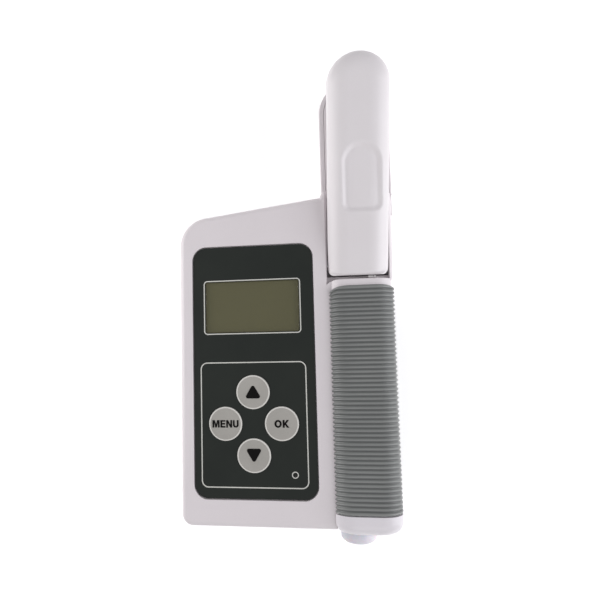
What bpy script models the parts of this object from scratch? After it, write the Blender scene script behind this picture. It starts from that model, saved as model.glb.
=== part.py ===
"""Handheld leaf-clip meter, built as separate parts.

The meter lies on its flat back: X runs to the grip side, Y towards the jaws, Z up
through the keypad. The origin is under the middle of the bounding box.
Sizes below are in millimetres; the helpers turn them into metres.
"""
import math

import bmesh
import bpy
from mathutils import Matrix, Vector

MM = 0.001
GAP = 0.3                      # clearance between neighbouring parts

# Casing
WIDTH, LENGTH = 86.0, 187.6
CASE_LEFT = -WIDTH / 2
CASE_BOTTOM = -85.4
CASE_FACE = 24.5               # front face above the back plane
CASE_WALL = 1.8
CASE_JOIN = 18.6               # where the casing block runs into the grip
TOP_LEFT, TOP_RIGHT = 34.8, 42.0   # ends of the slanted top edge
PARTING = 12.0                 # height of the split between the two shells
REAR_HIGH, FRONT_LOW = PARTING - GAP / 2, PARTING + GAP / 2
CEILING = 21.4                 # inside of the front wall, under the panel pocket

# Front panel
PANEL_X, PANEL_Y = -13.5, -25.6
PANEL_W, PANEL_L = 47.8, 98.1
PANEL_FACE, PANEL_THICK = 24.0, 0.7
LCD_X, LCD_Y = PANEL_X - 0.3, PANEL_Y + 25.0
LCD_W, LCD_L = 37.4, 20.4
KEY_X, KEY_Y = PANEL_X - 0.4, PANEL_Y - 20.5
KEY_STEP_X, KEY_STEP_Y = 11.0, 12.1
KEY_RADIUS, KEY_TOP = 6.4, 24.5
LED_X, LED_Y = PANEL_X + 15.5, PANEL_Y - 40.0
BOARD_LOW, BOARD_HIGH = 15.4, 17.0

# Grip
GRIP_LEFT, GRIP_RIGHT = 15.7, 41.4
GRIP_X = (GRIP_LEFT + GRIP_RIGHT) / 2
GRIP_LOW, GRIP_HIGH = 0.4, 28.0
GRIP_ROUND = 6.6               # sideways reach of the rounded edges
GRIP_FRONT_DEPTH, GRIP_BACK_DEPTH = 5.2, 7.5
SLEEVE_FROM, SLEEVE_TO = -78.9, 6.1
RIBS = 51
RIB_DEPTH = 0.45
CORE_INSET = 1.1
COLLAR_END = 8.5
CELL_RADIUS, CELL_LENGTH = 9.1, 65.0
CELL_Z = 14.2
CELL_FROM = -62.0

# End cap and power button
CAP_LEFT, CAP_RIGHT = 15.9, 40.7
CAP_LOW, CAP_HIGH = 0.9, 27.3
CAP_FROM, CAP_TO = -86.2, -79.2
BUTTON_X, BUTTON_Z = 25.2, 14.0
BUTTON_RADIUS, BUTTON_TIP = 6.9, -LENGTH / 2

# Jaws
CHANNEL_LEFT, CHANNEL_RIGHT = 15.7, 39.75
CHANNEL_END, HEAD_RIGHT = 43.9, 41.0
JAW_X, JAW_RADIUS, JAW_HIGH = WIDTH / 2 - 14.3, 14.3, 14.0
JAW_TIP = LENGTH / 2
ARM_X, ARM_HALF = 28.4, 11.55
ARM_SHIFT, ARM_LEAN, ARM_FLARE = -0.55, 0.02505, 0.00031  # the arm leans and widens to its tip
ARM_HEEL, ARM_TIP = 11.05, 94.3
ARM_LOW, ARM_HIGH = 15.2, 28.0
ARM_WALL = 1.8
ARM_ROUND = 5.0
PIVOT_Y, PIVOT_Z = 15.4, 20.0
PIN_RADIUS = 2.0
CHANNEL_LEAN, HEAD_LEAN = 1.0, 0.8   # its outer wall leans with the arm by this much to its end
WALL_HIGH = 23.2               # top of the outer wall beside the arm
PIN_LEFT, PIN_RIGHT = CHANNEL_LEFT - 1.2, HEAD_RIGHT - 0.2
OPEN_ANGLE = math.radians(10.0)
WINDOW_X, WINDOW_Y = 29.4, 79.7  # measuring window, along the closed arm
RECESS_X, RECESS_HALF = 30.15, 7.95
RECESS_FROM, RECESS_TO = 34.5, 60.9
RECESS_FLOOR = 26.4

# Screws
CASE_SCREWS = [(-38.5, -80.5), (10.0, -80.5), (-38.0, 27.5), (8.0, 34.0)]
BOARD_SCREWS = [(PANEL_X + sx * 20.2, PANEL_Y + sy * 46.1) for sx in (-1, 1) for sy in (-1, 1)]
ARM_SCREWS = [(ARM_X, 28.5), (ARM_X + 0.8, 64.0)]

for old in list(bpy.data.objects):
    bpy.data.objects.remove(old, do_unlink=True)

PARTS = bpy.data.collections.new("leaf_clip_meter")
CUTTERS = bpy.data.collections.new("cutters")
bpy.context.scene.collection.children.link(PARTS)
bpy.context.scene.collection.children.link(CUTTERS)


# ---------------------------------------------------------------- helpers

def material(name, colour, roughness, metallic=0.0, alpha=1.0):
    made = bpy.data.materials.new(name)
    made.use_nodes = True
    shader = made.node_tree.nodes["Principled BSDF"]
    shader.inputs["Base Color"].default_value = (*colour, 1.0)
    shader.inputs["Roughness"].default_value = roughness
    shader.inputs["Metallic"].default_value = metallic
    shader.inputs["Alpha"].default_value = alpha
    return made


def rounded(corners, steps=5):
    """Closed outline through corners (x, y, radius), each rounded by an arc."""
    outline = []
    for i, (x, y, radius) in enumerate(corners):
        corner = Vector((x, y))
        if radius == 0:
            outline.append(corner)
            continue
        before = (Vector(corners[i - 1][:2]) - corner).normalized()
        after = (Vector(corners[(i + 1) % len(corners)][:2]) - corner).normalized()
        half = before.angle(after) / 2
        centre = corner + (before + after).normalized() * radius / math.sin(half)
        start = corner + before * radius / math.tan(half) - centre
        end = corner + after * radius / math.tan(half) - centre
        sweep = start.angle_signed(end)
        for k in range(steps + 1):
            outline.append(centre + Matrix.Rotation(-sweep * k / steps, 2) @ start)
    return outline


def rectangle(left, right, low, high, radius=0.0, steps=4):
    corners = [(left, low), (right, low), (right, high), (left, high)]
    return rounded([(x, y, radius) for x, y in corners], steps)


def grip_section(inset, steps=4, half=None):
    """Cross-section of the grip in X and Z, moved inwards by inset.

    half is None for the whole section, or "front" or "back" for its part on that side
    of the parting gap.
    """
    left, right = GRIP_LEFT + inset, GRIP_RIGHT - inset
    low, high = GRIP_LOW + inset, GRIP_HIGH - inset
    reach = GRIP_ROUND - inset
    back, front = GRIP_BACK_DEPTH - inset, GRIP_FRONT_DEPTH - inset
    corners = [(right - reach, high - front, front, 0), (left + reach, high - front, front, 1),
               (left + reach, low + back, back, 2), (right - reach, low + back, back, 3)]
    outline = []
    for x, z, depth, quarter in corners:
        if half and (half == "front") != (quarter < 2):
            continue
        for k in range(steps + 1):
            turn = math.pi / 2 * (quarter + k / steps)
            outline.append(Vector((x + reach * math.cos(turn), z + depth * math.sin(turn))))
    if half == "front":
        outline += [Vector((left, FRONT_LOW)), Vector((right, FRONT_LOW))]
    if half == "back":
        outline += [Vector((right, REAR_HIGH)), Vector((left, REAR_HIGH))]
    return outline


def store(obj, collection):
    collection.objects.link(obj)
    if collection is CUTTERS:
        obj.hide_render = True
        obj.display_type = "WIRE"
        bake_place(obj)
    return obj


def bake_place(obj):
    """Move an object's place into its mesh, on a fine grid, so that faces meet exactly."""
    bpy.context.view_layer.update()
    shape = bmesh.new()
    shape.from_mesh(obj.data)
    shape.transform(obj.matrix_world)
    for vertex in shape.verts:
        vertex.co = [round(value, 7) for value in vertex.co]
    bmesh.ops.triangulate(shape, faces=shape.faces)
    shape.to_mesh(obj.data)
    shape.free()
    obj.matrix_world = Matrix()


def as_mesh(curve_object):
    """Turn a filled curve into a welded mesh object in the same place."""
    bpy.context.view_layer.update()
    place = curve_object.matrix_world.copy()
    graph = bpy.context.evaluated_depsgraph_get()
    mesh = bpy.data.meshes.new_from_object(curve_object.evaluated_get(graph))
    shape = bmesh.new()
    shape.from_mesh(mesh)
    bmesh.ops.remove_doubles(shape, verts=shape.verts, dist=1e-6)
    bmesh.ops.dissolve_limit(shape, angle_limit=0.01, verts=[], edges=shape.edges)
    bmesh.ops.recalc_face_normals(shape, faces=shape.faces)
    shape.to_mesh(mesh)
    shape.free()
    name = curve_object.name
    bpy.data.objects.remove(curve_object, do_unlink=True)
    obj = bpy.data.objects.new(name, mesh)
    obj.matrix_world = place
    return obj


def prism(name, outline, low, high, collection=PARTS, along="Z", round_low=0.0, round_high=0.0,
          segments=2):
    """Solid with a flat outline: X and Y pushed along Z, or X and Z pushed along Y.

    round_low and round_high are the radii of the two rims.
    """
    curve = bpy.data.curves.new(name, "CURVE")
    curve.dimensions = "2D"
    curve.fill_mode = "BOTH"
    curve.extrude = (high - low) / 2 * MM
    spline = curve.splines.new("POLY")
    spline.points.add(len(outline) - 1)
    for point, (x, y) in zip(spline.points, outline):
        point.co = (x * MM, y * MM, 0, 1)
    spline.use_cyclic_u = True
    obj = bpy.data.objects.new(name, curve)
    bpy.context.scene.collection.objects.link(obj)
    middle = (low + high) / 2 * MM
    if along == "Z":
        obj.location.z = middle
    else:
        obj.location.y = middle
        obj.rotation_euler.x = math.radians(90)
        round_low, round_high = round_high, round_low
    obj = as_mesh(obj)
    half = (high - low) / 2 * MM
    for radius, level in ((round_low, -half), (round_high, half)):
        if radius:
            round_rim(obj.data, level, radius * MM, segments)
    store(obj, collection)
    bake_place(obj)
    return obj


def round_rim(mesh, level, radius, segments):
    shape = bmesh.new()
    shape.from_mesh(mesh)
    rim = [edge for edge in shape.edges if all(abs(v.co.z - level) < 1e-6 for v in edge.verts)]
    bmesh.ops.bevel(shape, geom=rim, offset=radius, segments=segments, profile=0.5,
                    affect="EDGES", clamp_overlap=True)
    shape.to_mesh(mesh)
    shape.free()


def cylinder(name, centre, radius, length, axis="Z", collection=PARTS, sides=24):
    """Cylinder from centre outwards by half its length both ways."""
    mesh = bpy.data.meshes.new(name)
    shape = bmesh.new()
    bmesh.ops.create_cone(shape, cap_ends=True, segments=sides, radius1=radius * MM,
                          radius2=radius * MM, depth=length * MM)
    shape.to_mesh(mesh)
    shape.free()
    obj = bpy.data.objects.new(name, mesh)
    obj.location = Vector(centre) * MM
    if axis == "X":
        obj.rotation_euler.y = math.radians(90)
    if axis == "Y":
        obj.rotation_euler.x = math.radians(90)
    return store(obj, collection)


def box(name, low, high, collection=PARTS):
    mesh = bpy.data.meshes.new(name)
    shape = bmesh.new()
    size = Vector(high) - Vector(low)
    bmesh.ops.create_cube(shape, size=1.0, matrix=Matrix.Diagonal((*(size * MM), 1.0)))
    shape.to_mesh(mesh)
    shape.free()
    obj = bpy.data.objects.new(name, mesh)
    obj.location = (Vector(high) + Vector(low)) / 2 * MM
    return store(obj, collection)


def turned(name, profile, centre, axis="Z", collection=PARTS, steps=24):
    """Solid of revolution; profile is (radius, height) from the top down the outer side."""
    mesh = bpy.data.meshes.new(name)
    points = [(radius * MM, 0.0, height * MM) for radius, height in profile]
    mesh.from_pydata(points, [(i, i + 1) for i in range(len(points) - 1)], [])
    obj = bpy.data.objects.new(name, mesh)
    obj.location = Vector(centre) * MM
    if axis == "-Y":
        obj.rotation_euler.x = math.radians(90)
    screw = obj.modifiers.new("turn", "SCREW")
    screw.steps = screw.render_steps = steps
    screw.use_merge_vertices = True
    screw.merge_threshold = 0.00001
    return store(obj, collection)


def wire(name, points, radius):
    curve = bpy.data.curves.new(name, "CURVE")
    curve.dimensions = "3D"
    curve.bevel_depth = radius * MM
    curve.bevel_resolution = 2
    curve.use_fill_caps = True
    spline = curve.splines.new("POLY")
    spline.points.add(len(points) - 1)
    for point, place in zip(spline.points, points):
        point.co = (*(Vector(place) * MM), 1)
    return store(bpy.data.objects.new(name, curve), PARTS)


def combine(obj, others, operation):
    for other in others:
        step = obj.modifiers.new(other.name, "BOOLEAN")
        step.operation = operation
        step.solver = "EXACT"
        step.object = other
    return obj


def cut(obj, *others):
    return combine(obj, others, "DIFFERENCE")


def join(obj, *others):
    return combine(obj, others, "UNION")


def keep_inside(obj, other):
    return combine(obj, [other], "INTERSECT")


def paint(obj, finish, smooth=math.radians(35)):
    obj.data.materials.clear()
    obj.data.materials.append(finish)
    if any(step.type == "BOOLEAN" for step in obj.modifiers):
        merge = obj.modifiers.new("merge_flat_faces", "DECIMATE")
        merge.decimate_type = "DISSOLVE"
        merge.angle_limit = math.radians(0.05)
    if obj.type == "MESH":
        obj.data.shade_smooth()
        obj.data.set_sharp_from_angle(angle=smooth)
    return obj


def hang_on(pivot, *objects):
    """Parent parts, modelled with the jaw closed, to the arm's pivot."""
    for obj in objects:
        obj.parent = pivot
        obj.matrix_parent_inverse = Matrix.Translation(-pivot.location)


# ---------------------------------------------------------------- materials

WHITE = material("white_abs", (0.80, 0.78, 0.79), 0.42)
PANEL = material("dark_panel", (0.018, 0.027, 0.022), 0.30)
CLEAR = material("clear_window", (0.75, 0.77, 0.70), 0.08, 0.0, 0.4)
LCD = material("lcd_glass", (0.17, 0.16, 0.11), 0.20)
KEY = material("key_grey", (0.55, 0.54, 0.51), 0.40, 0.3)
RUBBER = material("grip_rubber", (0.19, 0.20, 0.20), 0.65)
SILICONE = material("button_silicone", (0.58, 0.58, 0.62), 0.35, 0.0, 0.85)
FOAM = material("black_foam", (0.03, 0.03, 0.03), 0.90)
BOARD = material("board_green", (0.02, 0.16, 0.06), 0.45)
CHIP = material("chip_black", (0.02, 0.02, 0.02), 0.50)
STEEL = material("bright_steel", (0.62, 0.62, 0.63), 0.25, 1.0)
CELL = material("cell_wrap", (0.08, 0.22, 0.45), 0.35)
SWITCH = material("switch_black", (0.03, 0.03, 0.035), 0.45)
LENS = material("led_lens", (0.70, 0.72, 0.70), 0.15)


# ---------------------------------------------------------------- casing shells

def casing_outline(inset):
    slope = (TOP_RIGHT - TOP_LEFT) / (CHANNEL_LEFT - CASE_LEFT)
    left, bottom = CASE_LEFT + inset, CASE_BOTTOM + inset
    drop = inset * math.hypot(1, slope)
    grip = CASE_JOIN - inset
    notch = CAP_LEFT - GAP - inset

    def top(x):
        return TOP_LEFT + slope * (x - CASE_LEFT) - drop

    return rounded([
        (left, bottom, 4.5 - inset), (notch, bottom, 0.6), (notch, SLEEVE_FROM + inset, 0),
        (grip, SLEEVE_FROM + inset, 0), (grip, top(grip), 0), (left, top(left), 11.5 - inset)])


def jaw_outline(inset, start):
    """The fixed jaw: straight sides that end in a half circle."""
    radius = JAW_RADIUS - inset
    centre = JAW_TIP - JAW_RADIUS
    points = [Vector((JAW_X + radius * math.cos(math.pi * k / 16),
                      centre + radius * math.sin(math.pi * k / 16))) for k in range(17)]
    return [Vector((JAW_X - radius, start)), Vector((JAW_X + radius, start))] + points


def casing_mass(name, low, high, half, **rims):
    """Outer form of one shell: casing block, grip core and the head beside the arm."""
    mass = prism(name, casing_outline(0), low, high, **rims)
    core = prism(name + "_core", grip_section(CORE_INSET, half=half), SLEEVE_FROM, COLLAR_END,
                 CUTTERS, "Y")
    head = prism(name + "_head", rounded([
        (CHANNEL_LEFT - CASE_WALL - 0.5, SLEEVE_TO + 0.6, 0), (HEAD_RIGHT, SLEEVE_TO + 0.6, 3.0),
        (HEAD_RIGHT + HEAD_LEAN, CHANNEL_END, 4.0), (CHANNEL_LEFT - CASE_WALL, CHANNEL_END, 1.0)]),
        max(low, 1.2), min(high, CASE_FACE - 0.1), CUTTERS)
    return join(mass, core, head)


def screw_posts(name, places, radius, low, high, bore=0.0, bore_to=0.0):
    """Round posts, each with a blind hole from below up to bore_to if bore is a radius."""
    posts = []
    for i, (x, y) in enumerate(places):
        post = cylinder("%s_%d" % (name, i), (x, y, (low + high) / 2), radius, high - low,
                        collection=CUTTERS, sides=18)
        if bore:
            cut(post, cylinder("%s_bore_%d" % (name, i), (x, y, (low - 1 + bore_to) / 2), bore,
                               bore_to - low + 1, collection=CUTTERS, sides=14))
        posts.append(post)
    return posts


def casing_cavity(name, low, high):
    return prism(name, casing_outline(CASE_WALL), low, high, CUTTERS)


def grip_bore(name):
    return prism(name, grip_section(CORE_INSET + 1.6), SLEEVE_FROM - 1, COLLAR_END - 1.6,
                 CUTTERS, "Y")


def build_rear_shell():
    shell = casing_mass("rear_shell", 0, REAR_HIGH, "back", round_low=2.0)
    jaw = prism("rear_jaw", jaw_outline(0, TOP_RIGHT - 6), 0, JAW_HIGH, CUTTERS, round_low=2.4,
                round_high=0.7)
    join(shell, jaw)
    step = box("rear_step", (-60, 20, REAR_HIGH), (60, CHANNEL_END + GAP, 60), CUTTERS)
    jaw_room = prism("rear_jaw_room", jaw_outline(CASE_WALL, CHANNEL_END + 3), CASE_WALL,
                     JAW_HIGH + 1, CUTTERS)
    passage = box("rear_passage", (CHANNEL_LEFT + 2, COLLAR_END + 2, 3.2),
                  (CHANNEL_RIGHT - 2, CHANNEL_END + 5, PARTING - 1.8), CUTTERS)
    upper = box("rear_upper", (CHANNEL_LEFT + 2, COLLAR_END + 2, PARTING - 2),
                (CHANNEL_RIGHT - 2, CHANNEL_END - 2, PARTING + 1), CUTTERS)
    cut(shell, step, casing_cavity("rear_cavity", CASE_WALL, 30), grip_bore("rear_bore"),
        jaw_room, passage, upper)
    join(shell, *screw_posts("rear_post", CASE_SCREWS, 3.4, 0.6, REAR_HIGH))
    cut(shell, *screw_posts("rear_head", CASE_SCREWS, 2.7, -1, 3.0))
    cut(shell, *screw_posts("rear_hole", CASE_SCREWS, 1.65, -1, PARTING + 1))
    return paint(shell, WHITE)


def build_front_shell():
    shell = casing_mass("front_shell", FRONT_LOW, CASE_FACE, "front", round_high=2.4)
    channel = prism("front_channel", [Vector(p) for p in (
        (CHANNEL_LEFT, COLLAR_END), (CHANNEL_RIGHT, COLLAR_END),
        (CHANNEL_RIGHT + CHANNEL_LEAN, CHANNEL_END), (CHANNEL_RIGHT + CHANNEL_LEAN, 60),
        (CHANNEL_LEFT, 60))], JAW_HIGH, 60, CUTTERS)
    side = box("front_side", (CHANNEL_LEFT - CASE_WALL, COLLAR_END - 1, 8),
               (CHANNEL_LEFT + 8, CHANNEL_END - 0.8, 30), CUTTERS)
    room = prism("front_room", casing_outline(CASE_WALL), 5, CEILING, CUTTERS)
    cut(room, side)
    pocket = prism("front_pocket", rectangle(PANEL_X - PANEL_W / 2 - GAP, PANEL_X + PANEL_W / 2 + GAP,
                                             PANEL_Y - PANEL_L / 2 - GAP, PANEL_Y + PANEL_L / 2 + GAP, 5.6),
                   PANEL_FACE - PANEL_THICK - GAP, 30, CUTTERS)
    display = prism("front_display", rectangle(LCD_X - LCD_W / 2 - 0.5, LCD_X + LCD_W / 2 + 0.5,
                                               LCD_Y - LCD_L / 2 - 0.5, LCD_Y + LCD_L / 2 + 0.5, 1.0),
                    10, 30, CUTTERS)
    wall_top = box("front_wall_top", (CHANNEL_RIGHT - 1, COLLAR_END, WALL_HIGH), (60, 60, 60), CUTTERS)
    cut(shell, channel, wall_top, room, grip_bore("front_bore"), pocket, display)
    for i, (x, y) in enumerate(key_places().values()):
        cut(shell, cylinder("front_key_%d" % i, (x, y, 22), 7.6, 12, collection=CUTTERS))
    cut(shell, cylinder("front_led", (LED_X, LED_Y, 22), 1.2, 12, collection=CUTTERS, sides=16))
    cut(shell, cylinder("front_pin", ((PIN_LEFT + PIN_RIGHT) / 2, PIVOT_Y, PIVOT_Z), PIN_RADIUS + GAP,
                        PIN_RIGHT - PIN_LEFT + 2 * GAP, "X", CUTTERS))
    join(shell, *screw_posts("front_post", CASE_SCREWS, 3.4, FRONT_LOW, CEILING + 0.5, 1.65, 19.6))
    join(shell, *screw_posts("front_board_post", BOARD_SCREWS, 2.2, BOARD_HIGH + GAP, CEILING + 0.5,
                             1.25, 20.6))
    return paint(shell, WHITE)


def build_jaw_cover():
    cover = prism("jaw_cover", jaw_outline(CASE_WALL + GAP, CHANNEL_END + 3 + GAP), JAW_HIGH - 1.8,
                  JAW_HIGH, round_high=0.3, segments=2)
    cut(cover, cylinder("cover_window", (WINDOW_X, WINDOW_Y, JAW_HIGH), 3.8, 8, collection=CUTTERS),
        cylinder("cover_pocket", (WINDOW_X, WINDOW_Y, JAW_HIGH), 7.8, 2.0, collection=CUTTERS))
    return paint(cover, WHITE)


# ---------------------------------------------------------------- panel, display and keys

def key_places():
    return {
        "key_up": (KEY_X, KEY_Y + KEY_STEP_Y), "key_down": (KEY_X, KEY_Y - KEY_STEP_Y),
        "key_menu": (KEY_X - KEY_STEP_X, KEY_Y), "key_ok": (KEY_X + KEY_STEP_X, KEY_Y)}


def build_panel():
    low = PANEL_FACE - PANEL_THICK
    panel = prism("face_panel", rectangle(PANEL_X - PANEL_W / 2, PANEL_X + PANEL_W / 2,
                                          PANEL_Y - PANEL_L / 2, PANEL_Y + PANEL_L / 2, 5.3),
                  low, PANEL_FACE)
    cut(panel, prism("panel_window", rectangle(LCD_X - LCD_W / 2, LCD_X + LCD_W / 2,
                                               LCD_Y - LCD_L / 2, LCD_Y + LCD_L / 2, 0.8),
                     low - 1, PANEL_FACE + 1, CUTTERS))
    for name, (x, y) in key_places().items():
        cut(panel, cylinder("panel_" + name, (x, y, PANEL_FACE), KEY_RADIUS + GAP, 5,
                            collection=CUTTERS))
    cut(panel, cylinder("panel_led", (LED_X, LED_Y, PANEL_FACE), 1.2, 5, collection=CUTTERS,
                        sides=16))
    paint(panel, PANEL)
    window = prism("lcd_window", rectangle(LCD_X - LCD_W / 2 + GAP / 2, LCD_X + LCD_W / 2 - GAP / 2,
                                           LCD_Y - LCD_L / 2 + GAP / 2, LCD_Y + LCD_L / 2 - GAP / 2, 0.65),
                   low, PANEL_FACE)
    paint(window, CLEAR)


def build_display():
    module = box("lcd_module", (LCD_X - 20.6, LCD_Y - 12.6, BOARD_HIGH + GAP),
                 (LCD_X + 20.6, LCD_Y + 12.6, CEILING - GAP))
    glass = box("lcd_raised_glass", (LCD_X - LCD_W / 2 + 0.3, LCD_Y - LCD_L / 2 + 0.3, 19),
                (LCD_X + LCD_W / 2 - 0.3, LCD_Y + LCD_L / 2 - 0.3, 22.6), CUTTERS)
    paint(join(module, glass), LCD)
    pipe = cylinder("status_led", (LED_X, LED_Y, (BOARD_HIGH + GAP + PANEL_FACE) / 2), 0.85,
                    PANEL_FACE - BOARD_HIGH - GAP, sides=16)
    paint(pipe, LENS)


def build_keys():
    bottom = 21.9 - KEY_TOP
    flange = 23.0 - KEY_TOP
    profile = [(0, 0), (KEY_RADIUS - 1.2, 0), (KEY_RADIUS - 0.5, -0.1), (KEY_RADIUS, -0.4),
               (KEY_RADIUS, flange), (KEY_RADIUS + 0.8, flange), (KEY_RADIUS + 0.8, bottom), (0, bottom)]
    for name, (x, y) in key_places().items():
        paint(turned(name, profile, (x, y, KEY_TOP)), KEY)
    pad = prism("keypad_sheet", rectangle(KEY_X - 17.5, KEY_X + 16.5, KEY_Y - 17.2, KEY_Y + 17.2, 2.5),
                BOARD_HIGH + GAP, 20.2, round_high=0.5, segments=2)
    for i, (x, y) in enumerate(key_places().values()):
        join(pad, cylinder("pad_dome_%d" % i, (x, y, 19.9), 4.6, 1.8, collection=CUTTERS, sides=24))
    paint(pad, SILICONE)


def build_board():
    outline = rectangle(PANEL_X - 23.4, PANEL_X + 23.4, PANEL_Y - 49.0, PANEL_Y + 49.0, 2.0)
    board = prism("main_board", outline, BOARD_LOW, BOARD_HIGH)
    cut(board, *screw_posts("board_hole", BOARD_SCREWS, 1.35, BOARD_LOW - 1, BOARD_HIGH + 1))
    paint(board, BOARD)
    under = BOARD_LOW - GAP
    parts = {
        "processor_chip": ((PANEL_X - 6, PANEL_Y - 8, under - 1.6), (PANEL_X + 6, PANEL_Y + 4, under)),
        "memory_chip": ((PANEL_X + 10, PANEL_Y - 2, under - 1.4), (PANEL_X + 16, PANEL_Y + 3, under)),
        "battery_connector": ((PANEL_X + 10, PANEL_Y - 30, under - 2.8),
                              (PANEL_X + 20, PANEL_Y - 25, under))}
    for name, (low, high) in parts.items():
        paint(box(name, low, high), CHIP)
    paint(cylinder("buzzer", (PANEL_X - 14, PANEL_Y + 18, under - 1.9), 4.5, 3.8, sides=24), CHIP)


# ---------------------------------------------------------------- grip

def ribbed_form():
    """Solid with the grip's section, swelling in and out along Y as ribs."""
    pitch = (SLEEVE_TO - SLEEVE_FROM) / RIBS
    stations = [(SLEEVE_FROM, RIB_DEPTH)]
    for i in range(RIBS):
        start = SLEEVE_FROM + pitch * i
        stations += [(start + pitch * 0.5, 0.0), (start + pitch, RIB_DEPTH)]
    shape = bmesh.new()
    rings = []
    for y, inset in stations:
        rings.append([shape.verts.new((p.x * MM, y * MM, p.y * MM)) for p in grip_section(inset, 3)])
    for ring, after in zip(rings, rings[1:]):
        for k in range(len(ring)):
            shape.faces.new((ring[k - 1], ring[k], after[k], after[k - 1]))
    shape.faces.new(rings[0])
    shape.faces.new(rings[-1])
    bmesh.ops.recalc_face_normals(shape, faces=shape.faces)
    mesh = bpy.data.meshes.new("grip_sleeve")
    shape.to_mesh(mesh)
    shape.free()
    return store(bpy.data.objects.new("grip_sleeve", mesh), PARTS)


def build_grip():
    sleeve = ribbed_form()
    core = prism("sleeve_core", grip_section(CORE_INSET - 0.25), SLEEVE_FROM - 5, SLEEVE_TO + 5,
                 CUTTERS, "Y")
    casing = box("sleeve_casing", (-10, -100, -5), (CASE_JOIN + GAP, 60, CASE_FACE + GAP), CUTTERS)
    paint(cut(sleeve, core, casing), RUBBER, math.radians(20))

    top, r = CELL_LENGTH, CELL_RADIUS
    profile = [(0, top), (2.8, top), (2.8, top - 1.4), (r - 1.2, top - 1.4), (r - 0.2, top - 1.6),
               (r, top - 2.4), (r, 0.6), (r - 0.6, 0), (0, 0)]
    cell = turned("battery_cell", [(radius, height - top) for radius, height in profile],
                  (GRIP_X, CELL_FROM, CELL_Z), "-Y")
    paint(cell, CELL)
    paint(box("battery_contact", (GRIP_X - 6, CELL_FROM + CELL_LENGTH + GAP, CELL_Z - 6),
              (GRIP_X + 6, CELL_FROM + CELL_LENGTH + GAP + 0.6, CELL_Z + 6)), STEEL)


def build_end_cap():
    def section(inset):
        return rectangle(CAP_LEFT + inset, CAP_RIGHT - inset, CAP_LOW + inset, CAP_HIGH - inset,
                         6.0 - inset, 6)
    cap = prism("end_cap", section(0), CAP_FROM, CAP_TO, along="Y", round_low=3.2, segments=4)
    spigot = prism("cap_spigot", grip_section(CORE_INSET + 1.9), CAP_TO - 1.5, CAP_TO + 4, CUTTERS, "Y")
    bore = prism("cap_bore", grip_section(CORE_INSET + 3.1), CAP_TO - 2, CAP_TO + 6, CUTTERS, "Y")
    hollow = prism("cap_hollow", rectangle(CAP_LEFT + 0.9, CAP_RIGHT - CASE_WALL, CAP_LOW + CASE_WALL,
                                           CAP_HIGH - CASE_WALL, 4.5),
                   CAP_FROM + CASE_WALL, CAP_TO - 1.7, CUTTERS, "Y")
    hole = cylinder("cap_hole", (BUTTON_X, CAP_FROM, BUTTON_Z), BUTTON_RADIUS + GAP, 10, "Y", CUTTERS)
    join(cap, spigot)
    paint(cut(cap, bore, hollow, hole), WHITE)


def build_power_button():
    r, height = BUTTON_RADIUS, CAP_FROM + 3.3 - BUTTON_TIP
    dome = [(r * math.sin(a), -4.2 * (1 - math.cos(a)))
            for a in (math.pi / 2 * k / 7 for k in range(8))]
    button = turned("power_button", dome + [(r, 0.6 - height), (0, 0.6 - height)],
                    (BUTTON_X, BUTTON_TIP, BUTTON_Z), "-Y")
    flange = box("button_flange", (BUTTON_X - 6.6, BUTTON_TIP + height - 1.2, BUTTON_Z - 7.4),
                 (BUTTON_X + 8.2, BUTTON_TIP + height, BUTTON_Z + 7.4), CUTTERS)
    paint(join(button, flange), SILICONE)
    back = BUTTON_TIP + height
    plunger = cylinder("switch_plunger", (BUTTON_X, back + GAP + 1.9, BUTTON_Z), 1.7, 3.8, "Y", sides=20)
    paint(plunger, CHIP)
    switch = box("power_switch", (BUTTON_X - 3.2, back + 2.4, BUTTON_Z - 3.5),
                 (BUTTON_X + 3.2, back + 9.4, BUTTON_Z + 3.5))
    cut(switch, cylinder("switch_bore", (BUTTON_X, back + 2.4, BUTTON_Z), 2.1, 8.6, "Y", CUTTERS))
    paint(switch, SWITCH)


def build_battery_spring():
    """Conical spring between the cell and its seat plate."""
    start, length, turns = CELL_FROM - GAP - 0.5, 5.4, 4
    points = []
    for k in range(turns * 10 + 1):
        share = k / (turns * 10)
        turn = 2 * math.pi * share * turns
        radius = 3.0 + 2.6 * share
        points.append((GRIP_X + radius * math.cos(turn), start - length * share,
                       CELL_Z + radius * math.sin(turn)))
    paint(wire("battery_spring", points, 0.4), STEEL)
    seat = start - length - 0.4 - GAP
    paint(box("spring_plate", (GRIP_X - 7, seat - 0.6, CELL_Z - 7), (GRIP_X + 7, seat, CELL_Z + 7)), STEEL)


# ---------------------------------------------------------------- clamp arm (modelled closed)

def arm_outline(inset, start, corner):
    radius = ARM_HALF - inset
    centre = ARM_TIP - ARM_HALF
    base = rounded([(ARM_X - radius, centre, 0), (ARM_X - radius, start, corner),
                    (ARM_X + radius, start, corner), (ARM_X + radius, centre, 0)], 4)
    tip = [Vector((ARM_X + radius * math.cos(math.pi * k / 20),
                   centre + radius * math.sin(math.pi * k / 20))) for k in range(1, 20)]
    leaning = []
    for x, y in base + tip:
        along = y - ARM_HEEL
        leaning.append(Vector((x + ARM_SHIFT + along * (ARM_LEAN + ARM_FLARE * (x - ARM_X)), y)))
    return leaning


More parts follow.
